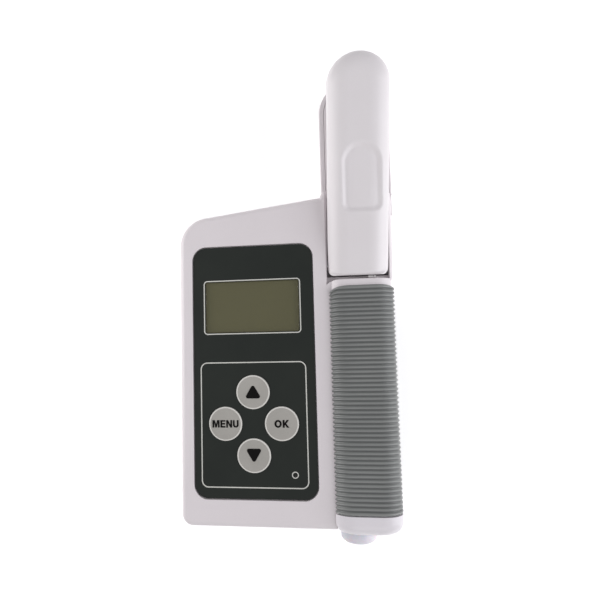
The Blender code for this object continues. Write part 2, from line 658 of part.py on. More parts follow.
def build_arm(pivot):
    arm = prism("clamp_arm", arm_outline(0, ARM_HEEL - 12, 3.0), ARM_LOW, ARM_HIGH,
                round_low=0.8, round_high=ARM_ROUND, segments=5)
    ends = prism("arm_ends", arm_outline(-0.5, ARM_HEEL, 2.0), ARM_LOW - 1, ARM_HIGH + 1, CUTTERS)
    hollow = prism("arm_hollow", arm_outline(ARM_WALL, ARM_HEEL - 4, 1.0), ARM_LOW - 1,
                   RECESS_FLOOR - 1.6, CUTTERS)
    bosses = [cylinder("arm_boss_%d" % i, (ARM_X + ARM_SHIFT + side * 7.8, PIVOT_Y, PIVOT_Z), 3.7, 4.6,
                       "X", CUTTERS, 28) for i, side in enumerate((-1, 1))]
    bore = cylinder("arm_bore", (ARM_X, PIVOT_Y, PIVOT_Z), PIN_RADIUS + 0.09, 40, "X", CUTTERS)
    lower_heel = prism("arm_lower_heel", [Vector(p) for p in (
        (ARM_X - 20, ARM_HEEL - 4), (ARM_X + 20, ARM_HEEL - 4), (ARM_X + 20, ARM_HEEL + 2.0),
        (ARM_X - 20, ARM_HEEL + 2.0))], ARM_LOW - 2, PIVOT_Z - 3, CUTTERS)
    recess = prism("arm_recess", recess_outline(), RECESS_FLOOR, ARM_HIGH + 4, CUTTERS)
    keep_inside(arm, ends)
    cut(arm, hollow, lower_heel)
    join(arm, *bosses)
    cut(arm, bore, recess)
    posts = screw_posts("arm_post", ARM_SCREWS, 2.4, ARM_LOW + 1.9, RECESS_FLOOR - 1)
    join(arm, *posts)
    holes = screw_posts("arm_screw_hole", ARM_SCREWS, 1.2, ARM_LOW - 1, ARM_LOW + 7.5)
    cut(arm, *holes)
    hang_on(pivot, arm, ends, hollow, lower_heel, bore, recess, *bosses, *posts, *holes)
    paint(arm, WHITE)


def recess_outline():
    """Thumb rest: straight sides, an arched far end and two small near corners."""
    left, right = RECESS_X - RECESS_HALF, RECESS_X + RECESS_HALF
    far = RECESS_TO - RECESS_HALF
    near = rounded([(left, far, 0), (left, RECESS_FROM, 2.2), (right, RECESS_FROM, 2.2),
                    (right, far, 0)], 4)
    arch = [Vector((RECESS_X + RECESS_HALF * math.cos(math.pi * k / 14),
                    far + RECESS_HALF * math.sin(math.pi * k / 14))) for k in range(1, 14)]
    return near + arch


def build_arm_inside(pivot):
    cover = prism("arm_cover", arm_outline(ARM_WALL + GAP, ARM_HEEL + 12, 1.0), ARM_LOW, ARM_LOW + 1.6)
    window_hole = cylinder("arm_window_hole", (WINDOW_X, WINDOW_Y, ARM_LOW), 3.8, 8, collection=CUTTERS)
    pocket = cylinder("arm_seal_pocket", (WINDOW_X, WINDOW_Y, ARM_LOW), 7.8, 2.0, collection=CUTTERS)
    heads = screw_posts("arm_head_hole", ARM_SCREWS, 2.5, ARM_LOW - 1, ARM_LOW + 1.0)
    shanks = screw_posts("arm_cover_hole", ARM_SCREWS, 1.3, ARM_LOW - 1, ARM_LOW + 3)
    cut(cover, window_hole, pocket, *heads, *shanks)
    paint(cover, WHITE)

    seal = ring("arm_seal", ARM_LOW - 0.3, ARM_LOW + 0.7)
    window = cylinder("emitter_window", (WINDOW_X, WINDOW_Y, ARM_LOW + 0.85), 3.5, 1.3)
    paint(window, CLEAR)
    board = box("emitter_board", (WINDOW_X - 6, WINDOW_Y - 7, ARM_LOW + 3.4),
                (WINDOW_X + 6, WINDOW_Y + 7, ARM_LOW + 4.4))
    led = cylinder("emitter_led", (WINDOW_X, WINDOW_Y, ARM_LOW + 3.0), 2.4, 1.8,
                   collection=CUTTERS, sides=20)
    paint(join(board, led), BOARD)
    fixings = screws("arm_screw", ARM_SCREWS, ARM_LOW + 0.1, 0.6, 2.1, 0.9, 6.4)
    hang_on(pivot, cover, window_hole, pocket, seal, window, board, led, *fixings, *heads, *shanks)
    hang_on(pivot, *[obj for obj in CUTTERS.objects if obj.name.startswith("arm_seal_bore")])


def ring(name, low, high):
    body = cylinder(name, (WINDOW_X, WINDOW_Y, (low + high) / 2), 7.5, high - low)
    hole = cylinder(name + "_bore", (WINDOW_X, WINDOW_Y, (low + high) / 2), 4.6, high - low + 2,
                    collection=CUTTERS)
    return paint(cut(body, hole), FOAM)


def build_jaw_inside():
    ring("jaw_seal", JAW_HIGH - 0.7, JAW_HIGH + 0.3)
    window = cylinder("receptor_window", (WINDOW_X, WINDOW_Y, JAW_HIGH - 0.95), 3.5, 1.3)
    paint(window, CLEAR)
    board = box("detector_board", (WINDOW_X - 6, WINDOW_Y - 7, 8.6), (WINDOW_X + 6, WINDOW_Y + 7, 9.6))
    diode = cylinder("detector_diode", (WINDOW_X, WINDOW_Y, 10.2), 2.4, 1.8, collection=CUTTERS, sides=20)
    paint(join(board, diode), BOARD)


def build_hinge():
    pin = cylinder("hinge_pin", ((PIN_LEFT + PIN_RIGHT) / 2, PIVOT_Y, PIVOT_Z), PIN_RADIUS,
                   PIN_RIGHT - PIN_LEFT, "X")
    paint(pin, STEEL)
    turns, radius, start, pitch = 4, 2.9, 26.2, 1.1
    points = [(start, COLLAR_END + 0.8, PIVOT_Z - 4.6), (start, PIVOT_Y - 4.5, PIVOT_Z - radius)]
    for k in range(turns * 10 + 1):
        turn = -math.pi / 2 - 2 * math.pi * k / 10
        points.append((start + pitch * k / 10, PIVOT_Y + radius * math.cos(turn),
                       PIVOT_Z + radius * math.sin(turn)))
    points.append((start + pitch * turns, PIVOT_Y + 7.0, PIVOT_Z - radius + 0.8))
    paint(wire("return_spring", points, 0.4), STEEL)


# ---------------------------------------------------------------- screws

def screws(name, places, low, head_high, head_radius, shank_radius, length, slot=0.6):
    """Pan-head screws driven in along +Z, one node each; slot is the cross slot's width."""
    made = []
    for i, (x, y) in enumerate(places, 1):
        screw = cylinder("%s_%d" % (name, i), (x, y, low + head_high / 2), head_radius, head_high,
                          sides=16)
        shank = cylinder("%s_shank_%d" % (name, i), (x, y, low + (head_high + length) / 2),
                         shank_radius, length - head_high + 0.4, collection=CUTTERS, sides=12)
        long, half = head_radius * 0.62, slot / 2
        slots = [box("%s_slot_%d_%d" % (name, i, k), (x - a, y - b, low - 1), (x + a, y + b, low + 0.5),
                     CUTTERS) for k, (a, b) in enumerate(((long, half), (half, long)))] if slot else []
        cut(join(screw, shank), *slots)
        made += [paint(screw, STEEL), shank, *slots]
    return made


def build_screws():
    screws("casing_screw", CASE_SCREWS, 1.2, 1.5, 2.3, 1.3, 17.0)
    screws("board_screw", BOARD_SCREWS, BOARD_LOW - GAP - 1.2, 1.2, 1.9, 0.95, 6.0, slot=0)


# ---------------------------------------------------------------- assembly

pivot_empty = bpy.data.objects.new("clamp_pivot", None)
PARTS.objects.link(pivot_empty)
pivot_empty.location = Vector((ARM_X, PIVOT_Y, PIVOT_Z)) * MM
pivot_empty.rotation_euler.x = OPEN_ANGLE

build_rear_shell()
build_front_shell()
build_jaw_cover()
build_panel()
build_display()
build_keys()
build_board()
build_grip()
build_battery_spring()
build_end_cap()
build_power_button()
build_arm(pivot_empty)
build_arm_inside(pivot_empty)
build_jaw_inside()
build_hinge()
build_screws()
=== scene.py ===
"""Looks of the handheld leaf-clip meter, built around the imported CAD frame.

X runs to the grip side, Y towards the jaws and Z up through the keypad. Sizes in the
code are in millimetres; the helpers turn them into metres.
"""

import math

import bmesh
import bpy
from mathutils import Matrix, Vector


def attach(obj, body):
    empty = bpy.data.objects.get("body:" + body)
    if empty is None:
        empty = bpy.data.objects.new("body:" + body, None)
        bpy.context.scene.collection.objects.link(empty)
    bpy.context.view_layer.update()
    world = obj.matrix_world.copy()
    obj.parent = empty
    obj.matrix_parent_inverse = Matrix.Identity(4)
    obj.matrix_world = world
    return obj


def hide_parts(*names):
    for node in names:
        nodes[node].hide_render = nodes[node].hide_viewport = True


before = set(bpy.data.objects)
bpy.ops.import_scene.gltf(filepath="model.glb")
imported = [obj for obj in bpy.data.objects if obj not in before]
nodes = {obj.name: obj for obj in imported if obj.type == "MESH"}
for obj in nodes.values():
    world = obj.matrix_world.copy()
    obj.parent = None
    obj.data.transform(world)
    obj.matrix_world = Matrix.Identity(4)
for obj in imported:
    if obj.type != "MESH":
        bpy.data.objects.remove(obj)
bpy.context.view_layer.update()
scene = bpy.context.scene

MM = 0.001
GAP = 0.3

# Casing
CASE_LEFT, CASE_BOTTOM, CASE_FACE, CASE_WALL, CASE_JOIN = -43.0, -85.4, 24.5, 1.8, 18.6
TOP_LEFT, TOP_RIGHT = 34.8, 42.0
PARTING, CEILING = 12.0, 21.4
REAR_HIGH, FRONT_LOW = PARTING - GAP / 2, PARTING + GAP / 2
CASE_SCREWS = [(-38.5, -80.5), (10.0, -80.5), (-38.0, 27.5), (8.0, 34.0)]

# Panel, display and keys
PANEL_X, PANEL_Y, PANEL_W, PANEL_L, PANEL_CORNER = -13.5, -25.6, 47.8, 98.1, 5.3
PANEL_FACE, PANEL_LOW = 24.0, 23.3
LCD_X, LCD_Y, LCD_W, LCD_L = PANEL_X - 0.3, PANEL_Y + 25.0, 37.4, 20.4
KEY_X, KEY_Y, KEY_STEP_X, KEY_STEP_Y = PANEL_X - 0.4, PANEL_Y - 20.5, 11.0, 12.1
KEY_RADIUS, KEY_TOP = 6.55, 24.5
LED_X, LED_Y = PANEL_X + 15.3, PANEL_Y - 39.75
BOARD_HIGH = 17.0
PRINT_HIGH = 0.04              # how far printed ink stands above what it is printed on

# Grip, end cap and power button
GRIP_LEFT, GRIP_RIGHT, GRIP_LOW, GRIP_HIGH = 15.7, 41.4, 0.4, 28.0
GRIP_ROUND, GRIP_FRONT_DEPTH, GRIP_BACK_DEPTH = 8.4, 5.6, 7.5
SLEEVE_FROM, SLEEVE_TO, RIBS, RIB_DEPTH = -78.9, 6.1, 51, 0.62
CORE_INSET, COLLAR_END = 1.1, 8.5
CAP_RIGHT, CAP_LOW, CAP_HIGH, CAP_FROM, CAP_TO = 40.7, 0.9, 27.3, -86.9, -79.1
CAP_INSET = 0.1
BUTTON_X, BUTTON_Z, BUTTON_RADIUS, BUTTON_TIP = 25.2, 14.0, 6.9, -93.8
BUTTON_HEIGHT, NOTCH = 10.9, 17.3        # the casing reaches under the cap's left lip to NOTCH

# Jaws and hinge
CHANNEL_LEFT, CHANNEL_RIGHT, CHANNEL_END, HEAD_RIGHT = 15.7, 39.75, 43.9, 41.0
JAW_X, JAW_RADIUS, JAW_HIGH, JAW_TIP = 28.7, 14.3, 14.0, 93.8
ARM_X, ARM_HALF, ARM_HEEL, ARM_TIP, ARM_LOW, ARM_HIGH = 28.4, 11.55, 11.05, 94.3, 15.2, 28.0
ARM_SHIFT, ARM_LEAN, ARM_FLARE = -0.55, 0.02505, 0.00031  # the arm leans and widens to its tip
ARM_WALL, ARM_CROWN, ARM_SIDE_DEPTH, ARM_HEEL_ROUND = 1.8, 8.2, 5.6, 1.3
CHANNEL_LEAN, HEAD_LEAN = 1.0, 0.8   # the wall beside the arm leans with it to its far end
LEDGE_LOW = 17.0               # the ledges that narrow the gaps round the arm, below the face
LEDGE_LEFT, LEDGE_LEFT_LEAN, LEDGE_LEFT_HIGH = 16.0, 0.0215, 23.5
LEDGE_RIGHT, LEDGE_RIGHT_LEAN, LEDGE_RIGHT_HIGH = 39.54, 0.0286, 22.9
LEDGE_END_LOW, LEDGE_END_HIGH = 17.6, 21.6
FAR = 60                       # a cut that runs out of the part ends here
PIVOT = Vector((28.4, 15.4, 20.0))
PIN_RADIUS, PIN_LEFT, PIN_RIGHT = 2.0, CHANNEL_LEFT - 1.2, HEAD_RIGHT - 0.2
OPEN_ANGLE = math.radians(10)
WINDOW_X, WINDOW_Y = 29.4, 79.7
RECESS_X, RECESS_HALF, RECESS_FROM, RECESS_TO, RECESS_DEEP = 30.0, 7.95, 34.5, 60.9, 1.15
RECESS_SLOPE, RECESS_CORNER = 2.4, 3.6   # width of the thumb rest's sloping wall, near corners
ARM_CEILING = 23.8
ARM_SCREWS = [(28.4, 28.5), (29.2, 64.0)]


# ---------------------------------------------------------------- camera, floor and light

def add_camera():
    data = bpy.data.cameras.new("camera")
    data.sensor_width, data.lens = 36.0, 30.0
    data.shift_x, data.shift_y = 0.06, 0.01
    data.clip_start = 0.005
    camera = bpy.data.objects.new("camera", data)
    right = Vector((0.99057, -0.02071, -0.13544))
    up = Vector((0.03108, 0.99671, 0.07493))
    turned_to = Matrix((right, up, right.cross(up))).transposed().to_4x4()
    camera.matrix_world = Matrix.Translation((0.01730, -0.01598, 0.21798)) @ turned_to
    scene.collection.objects.link(camera)
    scene.camera = camera


def add_light(name, place, target, size, power, colour=(1.0, 1.0, 1.0)):
    data = bpy.data.lights.new(name, "AREA")
    data.shape, data.size, data.energy, data.color = "SQUARE", size, power, colour
    light = bpy.data.objects.new(name, data)
    light.location = place
    light.rotation_euler = (Vector(target) - Vector(place)).to_track_quat("-Z", "Y").to_euler()
    scene.collection.objects.link(light)


def add_studio():
    world = bpy.data.worlds.new("studio")
    world.use_nodes = True
    sky = world.node_tree.nodes["Background"]
    sky.inputs["Color"].default_value = (0.97, 0.96, 1.0, 1.0)
    sky.inputs["Strength"].default_value = 0.30
    scene.world = world
    add_light("softbox_near", (0.05, -0.70, 0.50), (0.0, 0.0, 0.0), 0.5, 0.85, (1.0, 0.98, 0.97))
    add_light("softbox_right", (0.70, -0.05, 0.34), (0.02, 0.0, 0.01), 0.55, 4.1, (0.97, 0.97, 1.0))
    add_light("softbox_left", (-0.42, 0.06, 0.20), (0.0, 0.0, 0.01), 0.34, 1.4, (1.0, 0.985, 0.99))
    scene.view_settings.view_transform = "Standard"


def add_floor():
    mesh = bpy.data.meshes.new("floor")
    side = 3.0
    mesh.from_pydata([(-side, -side, 0), (side, -side, 0), (side, side, 0), (-side, side, 0)],
                     [], [(0, 1, 2, 3)])
    floor = bpy.data.objects.new("floor", mesh)
    floor.location.z = -0.0002
    made = bpy.data.materials.new("pale_floor")
    made.use_nodes = True
    shader = made.node_tree.nodes["Principled BSDF"]
    shader.inputs["Base Color"].default_value = (0.93, 0.93, 0.93, 1.0)
    shader.inputs["Roughness"].default_value = 0.9
    shader.inputs["Specular IOR Level"].default_value = 0.1
    shader.inputs["Emission Color"].default_value = (1.0, 1.0, 1.0, 1.0)
    shader.inputs["Emission Strength"].default_value = 0.42
    mesh.materials.append(made)
    scene.collection.objects.link(floor)


# ---------------------------------------------------------------- materials

def finish(name, colour, other, roughness, spread, grain, bump, blotch=60.0, metallic=0.0,
           **plain):
    """Procedural finish: two colours mixed by slow blotches and fine grain, with the same
    grain in roughness and bump. grain and blotch are in features per metre, bump in metres.
    """
    made = bpy.data.materials.new(name)
    made.use_nodes = True
    tree = made.node_tree
    shader = tree.nodes["Principled BSDF"]
    place = tree.nodes.new("ShaderNodeTexCoord")

    def noise(scale, detail):
        node = tree.nodes.new("ShaderNodeTexNoise")
        node.inputs["Scale"].default_value = scale
        node.inputs["Detail"].default_value = detail
        tree.links.new(place.outputs["Object"], node.inputs["Vector"])
        return node.outputs["Fac"]

    slow, fine = noise(blotch, 3.0), noise(grain, 2.0)
    both = tree.nodes.new("ShaderNodeMath")
    both.operation = "MULTIPLY_ADD"
    both.inputs[1].default_value = 0.55
    tree.links.new(slow, both.inputs[0])
    half = tree.nodes.new("ShaderNodeMath")
    half.operation = "MULTIPLY"
    half.inputs[1].default_value = 0.45
    tree.links.new(fine, half.inputs[0])
    tree.links.new(half.outputs[0], both.inputs[2])
    ramp = tree.nodes.new("ShaderNodeValToRGB")
    ramp.color_ramp.elements[0].position, ramp.color_ramp.elements[1].position = 0.35, 0.65
    ramp.color_ramp.elements[0].color = (*other, 1.0)
    ramp.color_ramp.elements[1].color = (*colour, 1.0)
    tree.links.new(both.outputs[0], ramp.inputs["Fac"])
    tree.links.new(ramp.outputs["Color"], shader.inputs["Base Color"])
    rough = tree.nodes.new("ShaderNodeMapRange")
    rough.inputs["To Min"].default_value = roughness - spread
    rough.inputs["To Max"].default_value = roughness + spread
    tree.links.new(both.outputs[0], rough.inputs["Value"])
    tree.links.new(rough.outputs["Result"], shader.inputs["Roughness"])
    relief = tree.nodes.new("ShaderNodeBump")
    relief.inputs["Distance"].default_value = bump
    relief.inputs["Strength"].default_value = 1.0
    tree.links.new(fine, relief.inputs["Height"])
    tree.links.new(relief.outputs["Normal"], shader.inputs["Normal"])
    shader.inputs["Metallic"].default_value = metallic
    for socket, value in plain.items():
        shader.inputs[socket.replace("_", " ")].default_value = value
    return made


WHITE = finish("white_plastic", (0.80, 0.755, 0.77), (0.775, 0.73, 0.745), 0.40, 0.05, 2600, 6e-6)
ARM_WHITE = finish("arm_plastic", (0.82, 0.79, 0.80), (0.80, 0.765, 0.775), 0.42, 0.05, 2600, 6e-6)
CAP_WHITE = finish("cap_plastic", (0.80, 0.77, 0.80), (0.775, 0.745, 0.775), 0.30, 0.05, 2200, 4e-6)
PANEL = finish("dark_overlay", (0.0145, 0.019, 0.0145), (0.0105, 0.0145, 0.0115),
               0.30, 0.06, 3200, 3e-6, Coat_Weight=0.25, Coat_Roughness=0.15)
INK = finish("grey_ink", (0.70, 0.70, 0.65), (0.62, 0.62, 0.575), 0.45, 0.05, 2500, 2e-6)
BLACK_INK = finish("black_ink", (0.004, 0.0035, 0.003), (0.006, 0.0055, 0.005),
                   0.75, 0.05, 2500, 2e-6, Specular_IOR_Level=0.12)
DISPLAY = finish("display_film", (0.221, 0.211, 0.107), (0.209, 0.198, 0.099),
                 0.35, 0.02, 1800, 2e-8, blotch=45.0)
PANE = finish("clear_pane", (0.165, 0.16, 0.096), (0.157, 0.152, 0.091), 0.10, 0.01, 1500, 1e-8,
              Alpha=0.30)
# near-white wire for the spring end: a painted highlight that stands in for its glint, not the
# steel's own colour
PAINTED_GLINT_WIRE = finish("painted_glint_wire", (0.90, 0.89, 0.88), (0.80, 0.79, 0.78), 0.42, 0.05, 3000, 1e-6,
                     metallic=0.25)
KEY = finish("key_silver", (0.455, 0.44, 0.405), (0.365, 0.355, 0.325), 0.42, 0.07, 5200, 5e-6)
# lighter colour for the keys' rounded rims: a painted highlight along their edges
KEY_EDGE_HIGHLIGHT = finish("key_edge_highlight", (0.78, 0.765, 0.72), (0.70, 0.685, 0.64), 0.35, 0.05, 4000, 3e-6)
RUBBER = finish("grip_rubber", (0.235, 0.245, 0.235), (0.20, 0.21, 0.202), 0.40, 0.07, 3600, 2e-5,
                Specular_IOR_Level=0.9, Sheen_Weight=0.6, Sheen_Roughness=0.35)
SILICONE = finish("clear_silicone", (0.76, 0.745, 0.80), (0.70, 0.685, 0.74),
                  0.30, 0.05, 1500, 3e-6, Subsurface_Weight=0.35, Subsurface_Scale=0.004)
PAD = finish("keypad_silicone", (0.50, 0.50, 0.53), (0.45, 0.45, 0.48), 0.55, 0.05, 1500, 3e-6)
FOAM = finish("black_foam", (0.035, 0.035, 0.037), (0.015, 0.015, 0.016), 0.92, 0.05, 2800, 8e-5)
GLASS = finish("light_window", (0.52, 0.55, 0.50), (0.47, 0.50, 0.45), 0.08, 0.03, 900, 5e-7,
               Coat_Weight=0.5, Coat_Roughness=0.05)
LENS = finish("led_lens", (0.015, 0.017, 0.015), (0.010, 0.012, 0.010), 0.15, 0.04, 900, 5e-7)
BOARD = finish("solder_mask", (0.015, 0.13, 0.05), (0.01, 0.085, 0.035), 0.38, 0.08, 1400, 1e-5)
CHIP = finish("chip_resin", (0.03, 0.03, 0.032), (0.018, 0.018, 0.02), 0.55, 0.08, 4200, 8e-6)
STEEL = finish("zinc_steel", (0.64, 0.64, 0.65), (0.52, 0.52, 0.54), 0.26, 0.08, 2600, 3e-6,
               metallic=1.0)
CELL = finish("cell_sleeve", (0.06, 0.20, 0.44), (0.05, 0.16, 0.37), 0.32, 0.06, 1400, 6e-6)


# painted shade for the sleeve's grooves: their pitch, where they start, and the dark colour painted
# into them
GROOVE_SHADE = ((SLEEVE_TO - SLEEVE_FROM) / RIBS, SLEEVE_FROM, (0.10, 0.106, 0.103))


# ---------------------------------------------------------------- helpers

def paint_groove_shade(material, pitch, start, colour):
    """Paints shade into the grooves: the colour falls off to a dark colour in them, and they repeat
    every pitch along Y from start.
    """
    tree = material.node_tree
    shader = tree.nodes["Principled BSDF"]
    base = shader.inputs["Base Color"].links[0].from_socket
    place = next(node for node in tree.nodes if node.type == "TEX_COORD")
    split = tree.nodes.new("ShaderNodeSeparateXYZ")
    tree.links.new(place.outputs["Object"], split.inputs["Vector"])
    phase = tree.nodes.new("ShaderNodeMath")
    phase.operation = "MULTIPLY_ADD"
    phase.inputs[1].default_value = 2 * math.pi / (pitch * MM)
    phase.inputs[2].default_value = -2 * math.pi * start / pitch
    tree.links.new(split.outputs["Y"], phase.inputs[0])
    wave = tree.nodes.new("ShaderNodeMath")
    wave.operation = "COSINE"
    tree.links.new(phase.outputs[0], wave.inputs[0])
    share = tree.nodes.new("ShaderNodeMapRange")
    share.interpolation_type = "SMOOTHSTEP"
    share.inputs["From Min"].default_value, share.inputs["From Max"].default_value = -0.35, 0.95
    tree.links.new(wave.outputs[0], share.inputs["Value"])
    mix = tree.nodes.new("ShaderNodeMix")
    mix.data_type = "RGBA"
    tree.links.new(share.outputs["Result"], mix.inputs["Factor"])
    tree.links.new(base, mix.inputs["A"])
    mix.inputs["B"].default_value = (*colour, 1.0)
    tree.links.new(mix.outputs["Result"], shader.inputs["Base Color"])


def rounded(corners, steps=10):
    """Closed outline through corners (x, y, radius), each rounded by an arc."""
    outline = []
    for i, (x, y, radius) in enumerate(corners):
        corner = Vector((x, y))
        if radius == 0:
            outline.append(corner)
            continue
        before = (Vector(corners[i - 1][:2]) - corner).normalized()
        after = (Vector(corners[(i + 1) % len(corners)][:2]) - corner).normalized()
        half = before.angle(after) / 2
        centre = corner + (before + after).normalized() * radius / math.sin(half)
        start = corner + before * radius / math.tan(half) - centre
        end = corner + after * radius / math.tan(half) - centre
        sweep = start.angle_signed(end)
        for k in range(steps + 1):
            outline.append(centre + Matrix.Rotation(-sweep * k / steps, 2) @ start)
    return outline


def rectangle(left, right, low, high, radius, steps=10):
    """Outline as a function of how far it is moved inwards."""
    def outline(inset):
        corners = [(left + inset, low + inset), (right - inset, low + inset),
                   (right - inset, high - inset), (left + inset, high - inset)]
        return rounded([(x, y, max(radius - inset, 0.05)) for x, y in corners], steps)
    return outline


def centred(x, y, width, length, radius, steps=10):
    return rectangle(x - width / 2, x + width / 2, y - length / 2, y + length / 2, radius, steps)


def circle(x, y, radius, sides=64):
    def outline(inset):
        return [Vector((x + (radius - inset) * math.cos(2 * math.pi * k / sides),
                        y + (radius - inset) * math.sin(2 * math.pi * k / sides)))
                for k in range(sides)]
    return outline


def mesh_object(name, shape):
    mesh = bpy.data.meshes.new(name)
    bmesh.ops.recalc_face_normals(shape, faces=shape.faces)
    shape.to_mesh(mesh)
    shape.free()
    obj = bpy.data.objects.new(name, mesh)
    scene.collection.objects.link(obj)
    return obj


def loft(name, rings, weld=False):
    """Closed solid through rings of points in millimetres."""
    shape = bmesh.new()
    loops = [[shape.verts.new(Vector(point) * MM) for point in ring] for ring in rings]
    for ring, after in zip(loops, loops[1:]):
        for k in range(len(ring)):
            shape.faces.new((ring[k - 1], ring[k], after[k], after[k - 1]))
    if weld:
        bmesh.ops.remove_doubles(shape, verts=shape.verts, dist=1e-6)
    else:
        shape.faces.new(loops[0])
        shape.faces.new(loops[-1])
    return mesh_object(name, shape)


def slab(name, outline, low, high, round_low=0.0, round_high=0.0, along="Z", steps=8):
    """Solid with the outline pushed from low to high, its two rims rounded."""
    levels = []
    for k in range(steps + 1) if round_low else [steps]:
        turn = math.pi / 2 * k / steps
        levels.append((round_low * (1 - math.sin(turn)), low + round_low * (1 - math.cos(turn))))
    for k in range(steps + 1) if round_high else [0]:
        turn = math.pi / 2 * k / steps
        levels.append((round_high * (1 - math.cos(turn)), high - round_high * (1 - math.sin(turn))))
    rings = []
    for inset, level in levels:
        points = outline(inset) if callable(outline) else outline
        rings.append([(p.x, p.y, level) if along == "Z" else (p.x, level, p.y) for p in points])
    return loft(name, rings)


def box(name, low, high):
    return slab(name, [Vector((low[0], low[1])), Vector((high[0], low[1])),
                       Vector((high[0], high[1])), Vector((low[0], high[1]))], low[2], high[2])


def rod(name, centre, radius, length, axis="Z", sides=64):
    """Cylinder from centre outwards by half its length both ways."""
    obj = slab(name, circle(0, 0, radius, sides), -length / 2, length / 2)
    turn = {"Z": Matrix(), "X": Matrix.Rotation(math.pi / 2, 4, "Y"),
            "Y": Matrix.Rotation(math.pi / 2, 4, "X")}[axis]
    obj.data.transform(Matrix.Translation(Vector(centre) * MM) @ turn)
    return obj


def turned(name, profile, centre, axis="Z", sides=72):
    """Solid of revolution; profile is (radius, height) pairs, the first and last on the axis."""
    spin = [(math.cos(2 * math.pi * k / sides), math.sin(2 * math.pi * k / sides))
            for k in range(sides)]
    rings = [[(radius * c, radius * s, height) for c, s in spin] for radius, height in profile]
    obj = loft(name, rings, weld=True)
    turn = {"Z": Matrix(), "X": Matrix.Rotation(math.pi / 2, 4, "Y"),
            "-Y": Matrix.Rotation(math.pi / 2, 4, "X")}[axis]
    obj.data.transform(Matrix.Translation(Vector(centre) * MM) @ turn)
    return obj


def boolean(obj, operation, others):
    """Apply a chain of EXACT Booleans and remove the other solids."""
    for other in others:
        step = obj.modifiers.new(other.name, "BOOLEAN")
        step.operation, step.solver, step.object = operation, "EXACT", other
    bake(obj)
    for other in others:
        bpy.data.objects.remove(other, do_unlink=True)
    return obj


def bake(obj):
    """Apply all modifiers to the mesh."""
    bpy.context.view_layer.update()
    graph = bpy.context.evaluated_depsgraph_get()
    mesh = bpy.data.meshes.new_from_object(obj.evaluated_get(graph))
    obj.modifiers.clear()
    obj.data = mesh
    return obj


def cut(obj, *others):
    return boolean(obj, "DIFFERENCE", others)


def join(obj, *others):
    return boolean(obj, "UNION", others)


def piece(obj, material, body, replaced=(), smooth=32, weighted=True):
    """Paint a piece, let it ride on its body, and hide the CAD nodes it stands for."""
    obj.data.materials.clear()
    obj.data.materials.append(material)
    obj.data.shade_smooth()
    obj.data.set_sharp_from_angle(angle=math.radians(smooth))
    if weighted:
        step = obj.modifiers.new("weighted_normals", "WEIGHTED_NORMAL")
        step.keep_sharp = True
    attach(obj, body)
    if replaced:
        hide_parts(*replaced)
    return obj


def opened(obj):
    """Swing a part that is modelled with the jaw closed to its open rest place."""
    pivot = PIVOT * MM
    obj.data.transform(Matrix.Translation(pivot) @ Matrix.Rotation(OPEN_ANGLE, 4, "X")
                       @ Matrix.Translation(-pivot))
    return obj


# ---------------------------------------------------------------- casing

def casing_outline(join_inset):
    """Outline of the casing block; its grip side stays where it is unless join_inset."""
    slope = (TOP_RIGHT - TOP_LEFT) / (CHANNEL_LEFT - CASE_LEFT)

    def outline(inset):
        left, bottom = CASE_LEFT + inset, CASE_BOTTOM + inset
        drop = inset * math.hypot(1, slope)
        grip = CASE_JOIN - (inset if join_inset else 0)
        notch = NOTCH - (inset if join_inset else 0)

        def top(x):
            return TOP_LEFT + slope * (x - CASE_LEFT) - drop

        return rounded([
            (left, bottom, 4.5 - inset), (notch, bottom, 0.6), (notch, SLEEVE_FROM + inset, 0),
            (grip, SLEEVE_FROM + inset, 0), (grip, top(grip), 0), (left, top(left), 11.5 - inset)],
            14)
    return outline


def jaw_outline(start):
    def outline(inset):
        radius = JAW_RADIUS - inset
        centre = JAW_TIP - JAW_RADIUS
        tip = [Vector((JAW_X + radius * math.cos(math.pi * k / 48),
                       centre + radius * math.sin(math.pi * k / 48))) for k in range(49)]
        heel = [Vector((JAW_X + side * radius, start + inset)) for side in (-1, 1)]
        return heel + tip
    return outline


def grip_section(inset, half=None, steps=14, ease=1.0):
    """Cross-section of the grip in X and Z; half is "front" or "back" of the parting gap.

    ease below 1 keeps the corners rounder as the section shrinks.
    """
    left, right = GRIP_LEFT + inset, GRIP_RIGHT - inset
    low, high = GRIP_LOW + inset, GRIP_HIGH - inset
    reach = GRIP_ROUND - ease * inset
    back, front = GRIP_BACK_DEPTH - ease * inset, GRIP_FRONT_DEPTH - ease * inset
    corners = [(right - reach, high - front, front, 0), (left + reach, high - front, front, 1),
               (left + reach, low + back, back, 2), (right - reach, low + back, back, 3)]
    outline = []
    for x, z, depth, quarter in corners:
        if half and (half == "front") != (quarter < 2):
            continue
        for k in range(steps + 1):
            turn = math.pi / 2 * (quarter + k / steps)
            outline.append(Vector((x + reach * math.cos(turn), z + depth * math.sin(turn))))
    if half == "front":
        outline += [Vector((left, FRONT_LOW)), Vector((right, FRONT_LOW))]
    if half == "back":
        outline += [Vector((right, REAR_HIGH)), Vector((left, REAR_HIGH))]
    return outline


def head_outline(inset):
    """The block beside the arm; its far left corner runs out of the casing's slanted edge."""
    return rounded([
        (CHANNEL_LEFT - CASE_WALL - 0.5 + inset, SLEEVE_TO + 0.6 + inset, 0),
        (HEAD_RIGHT - inset, SLEEVE_TO + 0.6 + inset, 3.0),
        (HEAD_RIGHT + HEAD_LEAN - inset, CHANNEL_END - inset, 4.0),
        (CHANNEL_LEFT - 0.9 + inset, CHANNEL_END - inset, 0.5),
        (CHANNEL_LEFT - CASE_WALL + inset, CHANNEL_END - 2.3, 0.3)], 10)


